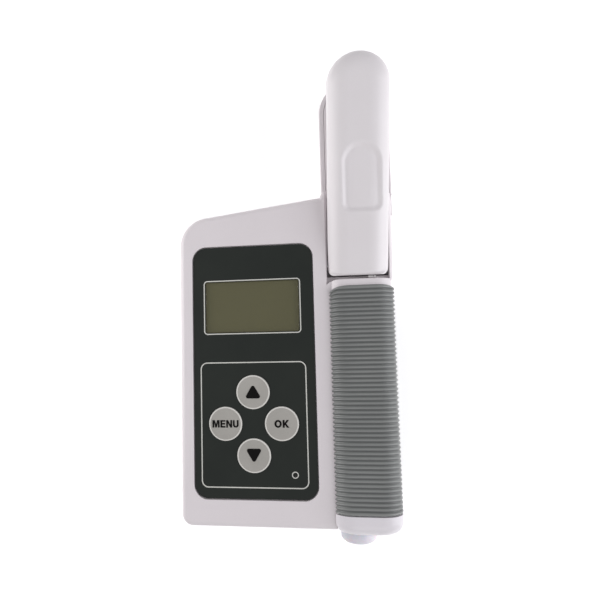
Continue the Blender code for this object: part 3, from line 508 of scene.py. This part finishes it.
def channel_outline():
    """The arm's channel; its near left corner runs down round the end of the grip."""
    reach, drop = 5.0, 2.1
    corner = [Vector((CHANNEL_LEFT + reach * (1 - math.cos(a)),
                      COLLAR_END - drop * (1 - math.sin(a))))
              for a in (math.pi / 2 * k / 12 for k in range(13))]
    far = CHANNEL_RIGHT + CHANNEL_LEAN
    return corner + [Vector((CHANNEL_RIGHT, COLLAR_END)), Vector((far, CHANNEL_END)),
                     Vector((far, FAR)), Vector((CHANNEL_LEFT, FAR))]


def channel_ledges():
    """Steps just below the face that close the gaps round the arm."""
    far = CHANNEL_END - 0.7
    side = [Vector(p) for p in (
        (CHANNEL_LEFT - 0.6, COLLAR_END - 3), (LEDGE_LEFT, COLLAR_END - 3), (LEDGE_LEFT, ARM_HEEL),
        (LEDGE_LEFT + (far - ARM_HEEL) * LEDGE_LEFT_LEAN, far), (CHANNEL_LEFT - 0.6, far))]
    end = rectangle(CHANNEL_LEFT + 0.2, CHANNEL_RIGHT - 0.2, COLLAR_END - 2.4, COLLAR_END + 1.5,
                    0.1)
    lean = (CHANNEL_END - 2 - ARM_HEEL) * LEDGE_RIGHT_LEAN
    outer = CHANNEL_RIGHT + 0.4
    right = [Vector(p) for p in (
        (LEDGE_RIGHT, COLLAR_END - 1), (outer, COLLAR_END - 1), (outer + lean, CHANNEL_END - 2),
        (LEDGE_RIGHT + lean, CHANNEL_END - 2), (LEDGE_RIGHT, ARM_HEEL))]
    return [slab("ledge_side", side, LEDGE_LOW, LEDGE_LEFT_HIGH),
            slab("ledge_end", end(0), LEDGE_END_LOW, LEDGE_END_HIGH),
            slab("ledge_right", right, LEDGE_LOW, LEDGE_RIGHT_HIGH)]


def posts(name, places, radius, low, high):
    return [rod("%s_%d" % (name, i), (x, y, (low + high) / 2), radius, high - low, sides=36)
            for i, (x, y) in enumerate(places)]


def build_rear_casing():
    shell = slab("casing_back", casing_outline(False), 0, REAR_HIGH, round_low=2.0)
    core = slab("back_core", grip_section(CORE_INSET, "back"), SLEEVE_FROM, COLLAR_END, along="Y")
    head = slab("back_head", head_outline, 1.2, REAR_HIGH)
    jaw = slab("back_jaw", jaw_outline(TOP_RIGHT - 6), 0, JAW_HIGH, round_low=2.4, round_high=0.7)
    join(shell, core, head, jaw)
    cut(shell, box("back_step", (-60, 20, REAR_HIGH), (60, CHANNEL_END + GAP, 60)),
        slab("back_cavity", casing_outline(True)(CASE_WALL), CASE_WALL, 30),
        slab("back_bore", grip_section(CORE_INSET + 1.6), SLEEVE_FROM - 1, COLLAR_END - 1.6,
             along="Y"),
        slab("back_jaw_room", jaw_outline(CHANNEL_END + 3 - CASE_WALL)(CASE_WALL + 0.2),
             CASE_WALL, JAW_HIGH + 1),
        box("back_passage", (CHANNEL_LEFT + 2, COLLAR_END + 2, 3.2),
            (CHANNEL_RIGHT - 2, CHANNEL_END + 5, PARTING - 1.8)),
        box("back_upper", (CHANNEL_LEFT + 2, COLLAR_END + 2, PARTING - 2),
            (CHANNEL_RIGHT - 2, CHANNEL_END - 2, PARTING + 1)))
    join(shell, *posts("back_post", CASE_SCREWS, 3.4, 0.6, REAR_HIGH))
    cut(shell, *posts("back_head_hole", CASE_SCREWS, 2.7, -1, 3.0),
        *posts("back_hole", CASE_SCREWS, 1.65, -1, PARTING + 1))
    piece(shell, WHITE, "casing", ["rear_shell"])


def build_front_casing():
    shell = slab("casing_front", casing_outline(False), FRONT_LOW, CASE_FACE, round_high=2.4,
                 steps=10)
    core = slab("front_core", grip_section(CORE_INSET, "front"), SLEEVE_FROM, COLLAR_END, along="Y")
    head = slab("front_head", head_outline, FRONT_LOW, CASE_FACE - 0.1, round_high=1.3)
    join(shell, core, head)
    room = slab("front_room", casing_outline(True)(CASE_WALL), 5, CEILING)
    cut(room, box("front_side", (CHANNEL_LEFT - CASE_WALL, COLLAR_END - 1, 8),
                  (CHANNEL_LEFT + 8, CHANNEL_END - 0.8, 30)))
    pocket = centred(PANEL_X, PANEL_Y, PANEL_W + 2 * GAP, PANEL_L + 2 * GAP, PANEL_CORNER + GAP)(0)
    cut(shell, slab("front_channel", channel_outline(), JAW_HIGH, 60),
        room,
        slab("front_bore", grip_section(CORE_INSET + 1.6), SLEEVE_FROM - 1, COLLAR_END - 1.6,
             along="Y"),
        slab("front_pocket", pocket, PANEL_LOW - GAP, 30),
        slab("front_display", centred(LCD_X, LCD_Y, LCD_W + 1, LCD_L + 1, 1.0)(0), 10, 30),
        *posts("front_key", key_places().values(), 7.6, 16, 28),
        *posts("front_led", [(LED_X, LED_Y)], 1.2, 16, 28))
    join(shell, *channel_ledges())
    bevel = [Vector(p) for p in (       # rounded top edge of the wall beside the arm, in X and Z
        (38.9, 23.3), (40.1, 23.2), (40.5, 22.95), (40.9, 22.5), (41.3, 21.7), (43.5, 14.5),
        (FAR, 14.5), (FAR, 40), (38.9, 40))]
    cut(shell, slab("front_wall_top", bevel, COLLAR_END + 0.02, FAR, along="Y"),
        rod("front_pin", ((PIN_LEFT + PIN_RIGHT) / 2, PIVOT.y, PIVOT.z), PIN_RADIUS + GAP,
            PIN_RIGHT - PIN_LEFT + 2 * GAP, "X"))
    piece(shell, WHITE, "casing", ["front_shell"])


# ---------------------------------------------------------------- panel, display and keys

def key_places():
    return {
        "key_up": (KEY_X, KEY_Y + KEY_STEP_Y), "key_down": (KEY_X, KEY_Y - KEY_STEP_Y),
        "key_menu": (KEY_X - KEY_STEP_X, KEY_Y), "key_ok": (KEY_X + KEY_STEP_X, KEY_Y)}


def printed_line(name, outline, width, level, material=None, body="casing"):
    """Closed line of ink along an outline, of one width."""
    outer, inner = outline(0), outline(width)
    rings = [[(p.x, p.y, z) for p in points] for points, z in (
        (outer, level), (outer, level + PRINT_HIGH), (inner, level + PRINT_HIGH), (inner, level),
        (outer, level))]
    return piece(loft(name, rings, weld=True), material or INK, body, weighted=False)


def build_panel():
    panel = slab("overlay", centred(PANEL_X, PANEL_Y, PANEL_W, PANEL_L, PANEL_CORNER), PANEL_LOW,
                 PANEL_FACE, round_high=0.25, steps=3)
    cut(panel, slab("overlay_window", centred(LCD_X, LCD_Y, LCD_W, LCD_L, 0.8)(0), 20, 30),
        *posts("overlay_key", key_places().values(), KEY_RADIUS + 0.12, 20, 30),
        *posts("overlay_led", [(LED_X, LED_Y)], 0.95, 20, 30))
    piece(panel, PANEL, "casing", ["face_panel"])
    printed_line("display_line", rectangle(-33.1, 5.5, -11.4, 10.1, 1.5), 0.42, PANEL_FACE)
    printed_line("keypad_line", rectangle(-34.7, 7.0, -70.5, -22.3, 2.7), 0.42, PANEL_FACE)
    printed_line("led_line", circle(LED_X, LED_Y, 1.30), 0.36, PANEL_FACE)
    window = slab("display_pane", centred(LCD_X, LCD_Y, LCD_W - GAP, LCD_L - GAP, 0.65), PANEL_LOW,
                  PANEL_FACE, round_high=0.15, steps=3)
    piece(window, PANE, "casing", ["lcd_window"])
    profile = [(0, BOARD_HIGH + GAP), (0.85, BOARD_HIGH + GAP), (0.85, PANEL_FACE - 0.3),
               (0.78, PANEL_FACE - 0.12), (0.5, PANEL_FACE), (0, PANEL_FACE)]
    pipe = turned("led_lens", profile, (LED_X, LED_Y, 0), sides=32)
    piece(pipe, LENS, "casing", ["status_led"])


def triangle(name, x, y, up, body):
    half_width, half_height = 3.3, 2.8
    y += 0.4 if up else -0.1
    tip = half_height if up else -half_height
    corners = [(x - half_width, y - tip, 0.75), (x + half_width, y - tip, 0.75), (x, y + tip, 0.75)]
    mark = slab(name, rounded(corners, 6), KEY_TOP - 0.03, KEY_TOP + PRINT_HIGH)
    piece(mark, BLACK_INK, body, weighted=False)


def letter_shapes():
    """Plain bold capitals in a unit square: a list of outlines, or an outer and an inner ring."""
    def bow(x, y, across, down, steps=14):
        return [(x - across * math.cos(math.pi * k / steps),
                 y - down * math.sin(math.pi * k / steps)) for k in range(steps + 1)]

    def oval(across, down, steps=40):
        return [(0.5 + across * math.cos(2 * math.pi * k / steps),
                 0.5 + down * math.sin(2 * math.pi * k / steps)) for k in range(steps)]
    return {
        "M": [(0, 0), (0, 1), (0.33, 1), (0.5, 0.40), (0.67, 1), (1, 1), (1, 0), (0.77, 0),
              (0.77, 0.70), (0.59, 0), (0.41, 0), (0.23, 0.70), (0.23, 0)],
        "E": [(0, 0), (0, 1), (1, 1), (1, 0.79), (0.33, 0.79), (0.33, 0.61), (0.93, 0.61),
              (0.93, 0.40), (0.33, 0.40), (0.33, 0.21), (1, 0.21), (1, 0)],
        "N": [(0, 0), (0, 1), (0.30, 1), (0.72, 0.40), (0.72, 1), (1, 1), (1, 0), (0.70, 0),
              (0.28, 0.60), (0.28, 0)],
        "U": bow(0.5, 0.36, 0.5, 0.36) + [(1, 1), (0.70, 1)] + bow(0.5, 0.38, 0.20, 0.17)[::-1] + [
            (0.30, 1), (0, 1)],
        "K": [(0, 0), (0, 1), (0.30, 1), (0.30, 0.60), (0.62, 1), (0.98, 1), (0.56, 0.54), (1, 0),
              (0.64, 0), (0.38, 0.36), (0.30, 0.27), (0.30, 0)],
        "O": (oval(0.5, 0.51), oval(0.23, 0.28))}


def word(name, letters, x, y, height, body):
    """Generic key legend of thin raised capitals; letters is (letter, width) pairs."""
    space, shapes = 0.36, letter_shapes()
    shape = bmesh.new()
    start = x - (sum(width for letter, width in letters) + space * (len(letters) - 1)) / 2
    for letter, width in letters:
        form = shapes[letter]
        outlines = form if isinstance(form, tuple) else (form,)
        levels = [[[shape.verts.new(((start + u * width) * MM, (y + (v - 0.5) * height) * MM,
                                     z * MM))
                    for u, v in outline] for z in (KEY_TOP - 0.03, KEY_TOP + PRINT_HIGH)]
                  for outline in outlines]
        for low, high in levels:
            for k in range(len(low)):
                shape.faces.new((low[k - 1], low[k], high[k], high[k - 1]))
        if len(levels) == 1:
            shape.faces.new(levels[0][0])
            shape.faces.new(levels[0][1])
        else:
            for outer, inner in zip(*levels):
                for k in range(len(outer)):
                    shape.faces.new((outer[k - 1], outer[k], inner[k], inner[k - 1]))
        start += width + space
    piece(mesh_object(name, shape), BLACK_INK, body, weighted=False)


def build_keys():
    r, flange, bottom = KEY_RADIUS, 23.0, 21.9
    profile = [(0, KEY_TOP - 0.03), (r - 0.62, KEY_TOP - 0.03), (r - 0.52, KEY_TOP),
               (r - 0.3, KEY_TOP), (r - 0.12, KEY_TOP - 0.06), (r, KEY_TOP - 0.25), (r, flange),
               (r + 0.55, flange), (r + 0.55, bottom), (0, bottom)]
    for name, (x, y) in key_places().items():
        cap = turned(name + "_cap", profile, (x, y, 0), sides=96)
        piece(cap, KEY, name, [name])
        cap.data.materials.append(KEY_EDGE_HIGHLIGHT)
        # the faces round each key's rounded rim get the painted edge highlight
        for face in cap.data.polygons:
            away = math.hypot(face.center.x / MM - x, face.center.y / MM - y)
            if r - 0.56 < away < r - 0.02 and face.center.z / MM > KEY_TOP - 0.2:
                face.material_index = 1
    places = key_places()
    triangle("key_up_mark", *places["key_up"], True, "key_up")
    triangle("key_down_mark", *places["key_down"], False, "key_down")
    word("key_menu_mark", [("M", 2.8), ("E", 1.95), ("N", 2.3), ("U", 2.2)], *places["key_menu"],
         2.85, "key_menu")
    word("key_ok_mark", [("O", 2.8), ("K", 2.5)], *places["key_ok"], 2.9, "key_ok")


# ---------------------------------------------------------------- grip

def sleeve_path(inset, steps=16):
    """Open path of the sleeve's section, from the casing's back edge round to its face."""
    left, right = GRIP_LEFT + inset, GRIP_RIGHT - inset
    low, high = GRIP_LOW + inset, GRIP_HIGH - inset
    reach = GRIP_ROUND - inset
    back, front = GRIP_BACK_DEPTH - inset, GRIP_FRONT_DEPTH - inset
    first = 2 * math.pi - math.acos((CASE_JOIN + GAP - left - reach) / reach)
    last = math.pi - math.asin((CASE_FACE + GAP - high + front) / front)
    arcs = [(left + reach, low + back, back, first, 1.5 * math.pi),
            (right - reach, low + back, back, 1.5 * math.pi, 2 * math.pi),
            (right - reach, high - front, front, 0.0, 0.5 * math.pi),
            (left + reach, high - front, front, 0.5 * math.pi, last)]
    return [(x + reach * math.cos(start + (end - start) * k / steps),
             z + depth * math.sin(start + (end - start) * k / steps))
            for x, z, depth, start, end in arcs for k in range(steps + 1)]


def sleeve_sag(x, y):
    """How far the ribs bend back at a place: a little at the sides, more at the ends."""
    left, right = max(25.5 - x, 0) / 9.8, max(x - 34, 0) / 7.4
    corner = max(21.5 - x, 0) / 5.8, max(x - 36.5, 0) / 4.9
    far, near = math.exp((y - SLEEVE_TO) / 2.2), math.exp((SLEEVE_FROM - y) / 2.2)
    end = 2.2 * corner[0] ** 2.4 + 1.0 * corner[1] ** 2.4
    return 0.9 * left ** 2 + 0.25 * right ** 2 + end * far - (0.6 * end + 0.1) * near


def build_sleeve():
    pitch, per_rib, end_round = (SLEEVE_TO - SLEEVE_FROM) / RIBS, 8, 0.7
    inner = sleeve_path(CORE_INSET - 0.2)
    shape = bmesh.new()
    rings = []
    for i in range(RIBS * per_rib + 1):
        y = SLEEVE_FROM + pitch * i / per_rib
        wave = 0.5 + 0.5 * math.cos(2 * math.pi * i / per_rib)
        edge = min(y - SLEEVE_FROM, SLEEVE_TO - y)
        inset = RIB_DEPTH * wave ** 1.3
        if edge < pitch / 2:
            inset = end_round * (1 - math.sqrt(1 - (1 - edge / (pitch / 2)) ** 2)) * 0.9
        outer = sleeve_path(inset)
        rings.append([shape.verts.new((x * MM, (y - sleeve_sag(x, y)) * MM, z * MM))
                      for x, z in outer + inner[::-1]])
    for ring, after in zip(rings, rings[1:]):
        for k in range(len(ring)):
            shape.faces.new((ring[k - 1], ring[k], after[k], after[k - 1]))
    for ring in (rings[0], rings[-1]):
        for k in range(len(inner) - 1):
            shape.faces.new((ring[k], ring[k + 1], ring[-2 - k], ring[-1 - k]))
    # paint shade into the grooves between the ribs
    paint_groove_shade(RUBBER, *GROOVE_SHADE)
    piece(mesh_object("ribbed_sleeve", shape), RUBBER, "casing", ["grip_sleeve"], smooth=60,
          weighted=False)


def build_end_cap():
    rim, reach = 5.2, 5.6      # how far the rounded end runs along the grip and inwards
    turns = [math.pi / 2 * k / 16 for k in range(17)]
    stations = [(CAP_INSET + reach * (1 - math.sin(a)), CAP_FROM + rim * (1 - math.cos(a)))
                for a in turns]
    stations.append((CAP_INSET, CAP_TO))
    cap = loft("bottom_cap", [[(p.x, y, p.y) for p in grip_section(inset, ease=0.6)]
                              for inset, y in stations])
    join(cap, slab("cap_spigot", grip_section(CORE_INSET + 1.9), CAP_TO - 1.5, CAP_TO + 4,
                   along="Y"))
    cut(cap, slab("cap_bore", grip_section(CORE_INSET + 3.1), CAP_TO - 2, CAP_TO + 6, along="Y"),
        box("cap_beside", (-10, -100, -5), (NOTCH + 0.2, 60, CASE_FACE + 0.15)),
        slab("cap_hollow", rectangle(NOTCH + 1.0, CAP_RIGHT - CASE_WALL, CAP_LOW + CASE_WALL,
                                     CAP_HIGH - CASE_WALL, 4.5)(0),
             CAP_FROM + CASE_WALL, CAP_TO - 1.7, along="Y"),
        rod("cap_hole", (BUTTON_X, CAP_FROM, BUTTON_Z), BUTTON_RADIUS + GAP, 10, "Y"))
    piece(cap, CAP_WHITE, "casing", ["end_cap"])


def build_power_button():
    r, height = BUTTON_RADIUS, BUTTON_HEIGHT
    tip = 1.0                  # the dome stays this far inside its space
    dome = [(r * math.sin(a) ** 0.85, -tip - (4.0 - tip) * (1 - math.cos(a) ** 0.85))
            for a in (math.pi / 2 * k / 24 for k in range(25))]
    button = turned("button_dome", dome + [(r, 0.6 - height), (0, 0.6 - height)],
                    (BUTTON_X, BUTTON_TIP, BUTTON_Z), "-Y")
    flange = box("button_flange", (BUTTON_X - 6.6, BUTTON_TIP + height - 1.2, BUTTON_Z - 7.4),
                 (BUTTON_X + 8.2, BUTTON_TIP + height, BUTTON_Z + 7.4))
    piece(join(button, flange), SILICONE, "button", ["power_button"])


# ---------------------------------------------------------------- jaws

def recess_depth(x, y):
    """How deep the thumb rest is at a place, from 0 outside it to 1 on its floor."""
    far, corner = RECESS_TO - RECESS_HALF, RECESS_CORNER
    if y > far:
        away = math.hypot(x - RECESS_X, y - far) - RECESS_HALF
    else:
        across, below = abs(x - RECESS_X) - RECESS_HALF + corner, RECESS_FROM + corner - y
        away = (math.hypot(max(across, 0), max(below, 0)) + min(max(across, below), 0) - corner)
    share = min(max(-away / RECESS_SLOPE, 0.0), 1.0)
    return share * share * (3 - 2 * share)


def lean(x, y):
    """X of a place on the arm, which leans and widens a little towards its tip."""
    along = y - ARM_HEEL
    return x + ARM_SHIFT + along * (ARM_LEAN + ARM_FLARE * (x - ARM_X))


def arm_ring(side_inset, heel_inset, side_level, heel_level):
    """Ring round the arm; the heel end may lie at another inset and level than the sides."""
    half = ARM_HALF - side_inset
    centre, heel = ARM_TIP - ARM_HALF, ARM_HEEL + heel_inset
    corner = max(2.6 - 0.5 * (side_inset + heel_inset), 0.35)
    arc, side, across, tip = 10, 230, 24, 56
    ring = []
    for k in range(arc + 1):
        turn, share = math.pi / 2 * k / arc, k / arc
        level = side_level + (heel_level - side_level) * share * share * (3 - 2 * share)
        ring.append((ARM_X - half + corner * (1 - math.cos(turn)),
                     heel + corner * (1 - math.sin(turn)), level))
    for k in range(1, across):
        ring.append((ARM_X - (half - corner) * (1 - 2 * k / across), heel, heel_level))
    ring += [(2 * ARM_X - x, y, z) for x, y, z in ring[arc::-1]]
    start = heel + corner
    ring += [(ARM_X + half, start + (centre - start) * k / side, side_level)
             for k in range(1, side)]
    ring += [(ARM_X + half * math.cos(math.pi * k / tip),
              centre + half * math.sin(math.pi * k / tip), side_level) for k in range(tip + 1)]
    ring += [(ARM_X - half, start + (centre - start) * k / side, side_level)
             for k in range(side - 1, 0, -1)]
    return ring


def build_arm():
    rim, inner, low_round = 30, 12, 0.8
    rings = []
    flat = arm_ring(ARM_CROWN, ARM_HEEL_ROUND, ARM_HIGH, ARM_HIGH)
    near, far = ARM_HEEL + ARM_HEEL_ROUND + ARM_HALF - ARM_CROWN, ARM_TIP - ARM_HALF
    spine = [(ARM_X, min(max(y, near), far), z) for x, y, z in flat]
    rings.append([(x, y, ARM_LOW) for x, y, z in spine])
    for k in range(5):
        turn = math.pi / 2 * k / 4
        inset, level = low_round * (1 - math.sin(turn)), ARM_LOW + low_round * (1 - math.cos(turn))
        rings.append(arm_ring(inset, inset, level, level))
    for k in range(rim + 1):
        turn = math.pi / 2 * k / rim
        inwards, up = 1 - math.cos(turn), 1 - math.sin(turn)
        rings.append(arm_ring(ARM_CROWN * inwards, ARM_HEEL_ROUND * inwards,
                              ARM_HIGH - ARM_SIDE_DEPTH * up, ARM_HIGH - ARM_HEEL_ROUND * up))
    for k in range(1, inner + 1):
        share = k / inner
        rings.append([tuple(a + (b - a) * share for a, b in zip(p, q))
                      for p, q in zip(flat, spine)])
    pressed = []
    for ring in rings:
        places = [(lean(x, y), y, z) for x, y, z in ring]
        pressed.append([(x, y, z - (RECESS_DEEP * recess_depth(x, y) if z > ARM_CEILING else 0))
                        for x, y, z in places])
    arm = loft("arm_shell", pressed, weld=True)
    hollow = slab("arm_hollow", rounded_arm(ARM_WALL, ARM_HEEL - 4), ARM_LOW - 1, ARM_CEILING)
    cut(arm, hollow, box("arm_lower_heel", (ARM_X - 20, ARM_HEEL - 4, ARM_LOW - 2),
                         (ARM_X + 20, ARM_HEEL + 2, PIVOT.z - 3)))
    bosses = [rod("arm_boss_%d" % side, (ARM_X + ARM_SHIFT + side * 7.8, PIVOT.y, PIVOT.z),
                  3.7, 4.6, "X") for side in (-1, 1)]
    join(arm, *bosses, *posts("arm_post", ARM_SCREWS, 2.4, ARM_LOW + 1.9, ARM_CEILING + 0.6))
    cut(arm, rod("arm_bore", (ARM_X, PIVOT.y, PIVOT.z), PIN_RADIUS + 0.09, 40, "X"),
        *posts("arm_screw_hole", ARM_SCREWS, 1.2, ARM_LOW - 1, ARM_LOW + 7.5))
    piece(opened(arm), ARM_WHITE, "clamp", ["clamp_arm"], smooth=40)


def rounded_arm(inset, start):
    """Plan outline of the arm's hollow, open at the heel."""
    half, centre = ARM_HALF - inset, ARM_TIP - ARM_HALF
    tip = [Vector((ARM_X + half * math.cos(math.pi * k / 40),
                   centre + half * math.sin(math.pi * k / 40))) for k in range(41)]
    outline = [(ARM_X - half, start), (ARM_X + half, start)] + [tuple(point) for point in tip]
    return [Vector((lean(x, y), y)) for x, y in outline]


def foam_ring(name, low, body, replaced, swing):
    profile = [(4.6, low), (7.5, low), (7.5, low + 0.8), (7.3, low + 1.0), (4.8, low + 1.0),
               (4.6, low + 0.8), (4.6, low)]
    ring = turned(name, profile, (WINDOW_X, WINDOW_Y, 0))
    piece(opened(ring) if swing else ring, FOAM, body, [replaced])


def light_window(name, low, body, replaced, swing):
    profile = [(0, low), (3.5, low), (3.5, low + 1.1), (3.3, low + 1.3), (0, low + 1.3)]
    window = turned(name, profile, (WINDOW_X, WINDOW_Y, 0))
    piece(opened(window) if swing else window, GLASS, body, [replaced])


def build_jaw_details():
    foam_ring("jaw_foam", JAW_HIGH - 0.7, "casing", "jaw_seal", False)
    foam_ring("arm_foam", ARM_LOW - 0.3, "clamp", "arm_seal", True)
    light_window("jaw_window", JAW_HIGH - 1.6, "casing", "receptor_window", False)
    light_window("arm_window", ARM_LOW + 0.2, "clamp", "emitter_window", True)
    half = (PIN_RIGHT - PIN_LEFT) / 2
    profile = [(0, -half), (PIN_RADIUS - 0.3, -half), (PIN_RADIUS, 0.3 - half),
               (PIN_RADIUS, half - 0.3), (PIN_RADIUS - 0.3, half), (0, half)]
    pin = turned("pivot_pin", profile, ((PIN_LEFT + PIN_RIGHT) / 2, PIVOT.y, PIVOT.z), "X")
    piece(pin, STEEL, "casing", ["hinge_pin"])


# ---------------------------------------------------------------- spring end and screws

def build_spring_end():
    """The end of the closing spring, hooked over the step in front of the arm's heel."""
    y, z = COLLAR_END + 0.95, 24.5
    hook = rod("spring_end", (32.5, y, z), 0.42, 1.7, "X", sides=24)
    join(hook, rod("spring_turn", (34.1, y, z), 0.42, 0.8, "X", sides=24))
    join(hook, rod("spring_link", (33.2, y, z - 0.2), 0.25, 2.4, "X", sides=24))
    join(hook, rod("spring_leg", (31.9, y, z - 2.0), 0.3, 4.0, sides=24))
    # the hook's wire is painted near white as a painted glint
    piece(hook, PAINTED_GLINT_WIRE, "casing")


def build_casing_screws():
    low, head, radius = 1.2, 1.5, 2.3
    for i, (x, y) in enumerate(CASE_SCREWS, 1):
        profile = [(0, low), (0.9 * radius * 0.6, low + 0.03), (radius * 0.85, low + 0.25),
                   (radius, low + 0.7), (radius, low + head), (1.3, low + head),
                   (1.3, low + 16.2), (0.4, low + 17.0), (0, low + 17.0)]
        screw = turned("shell_screw_%d" % i, profile, (x, y, 0), sides=48)
        a, b = radius * 0.62, 0.3
        cut(screw, box("slot_a", (x - a, y - b, low - 1), (x + a, y + b, low + 0.7)),
            box("slot_b", (x - b, y - a, low - 1), (x + b, y + a, low + 0.7)))
        piece(screw, STEEL, "casing", ["casing_screw_%d" % i])


# ---------------------------------------------------------------- CAD nodes that stay

def paint_cad(material, *names):
    for name in names:
        data = nodes[name].data
        data.materials.clear()
        data.materials.append(material)


def paint_kept_nodes():
    paint_cad(WHITE, "jaw_cover", "arm_cover")
    paint_cad(DISPLAY, "lcd_module")
    paint_cad(PAD, "keypad_sheet")
    paint_cad(BOARD, "main_board", "detector_board", "emitter_board")
    paint_cad(CHIP, "processor_chip", "memory_chip", "battery_connector", "buzzer", "power_switch",
              "switch_plunger")
    paint_cad(CELL, "battery_cell")
    paint_cad(STEEL, "battery_contact", "battery_spring", "spring_plate", "return_spring",
              "arm_screw_1", "arm_screw_2", *["board_screw_%d" % i for i in range(1, 5)])


# ---------------------------------------------------------------- assembly

add_camera()
add_studio()
add_floor()
build_rear_casing()
build_front_casing()
build_panel()
build_keys()
build_sleeve()
build_end_cap()
build_power_button()
build_arm()
build_jaw_details()
build_spring_end()
build_casing_screws()
paint_kept_nodes()
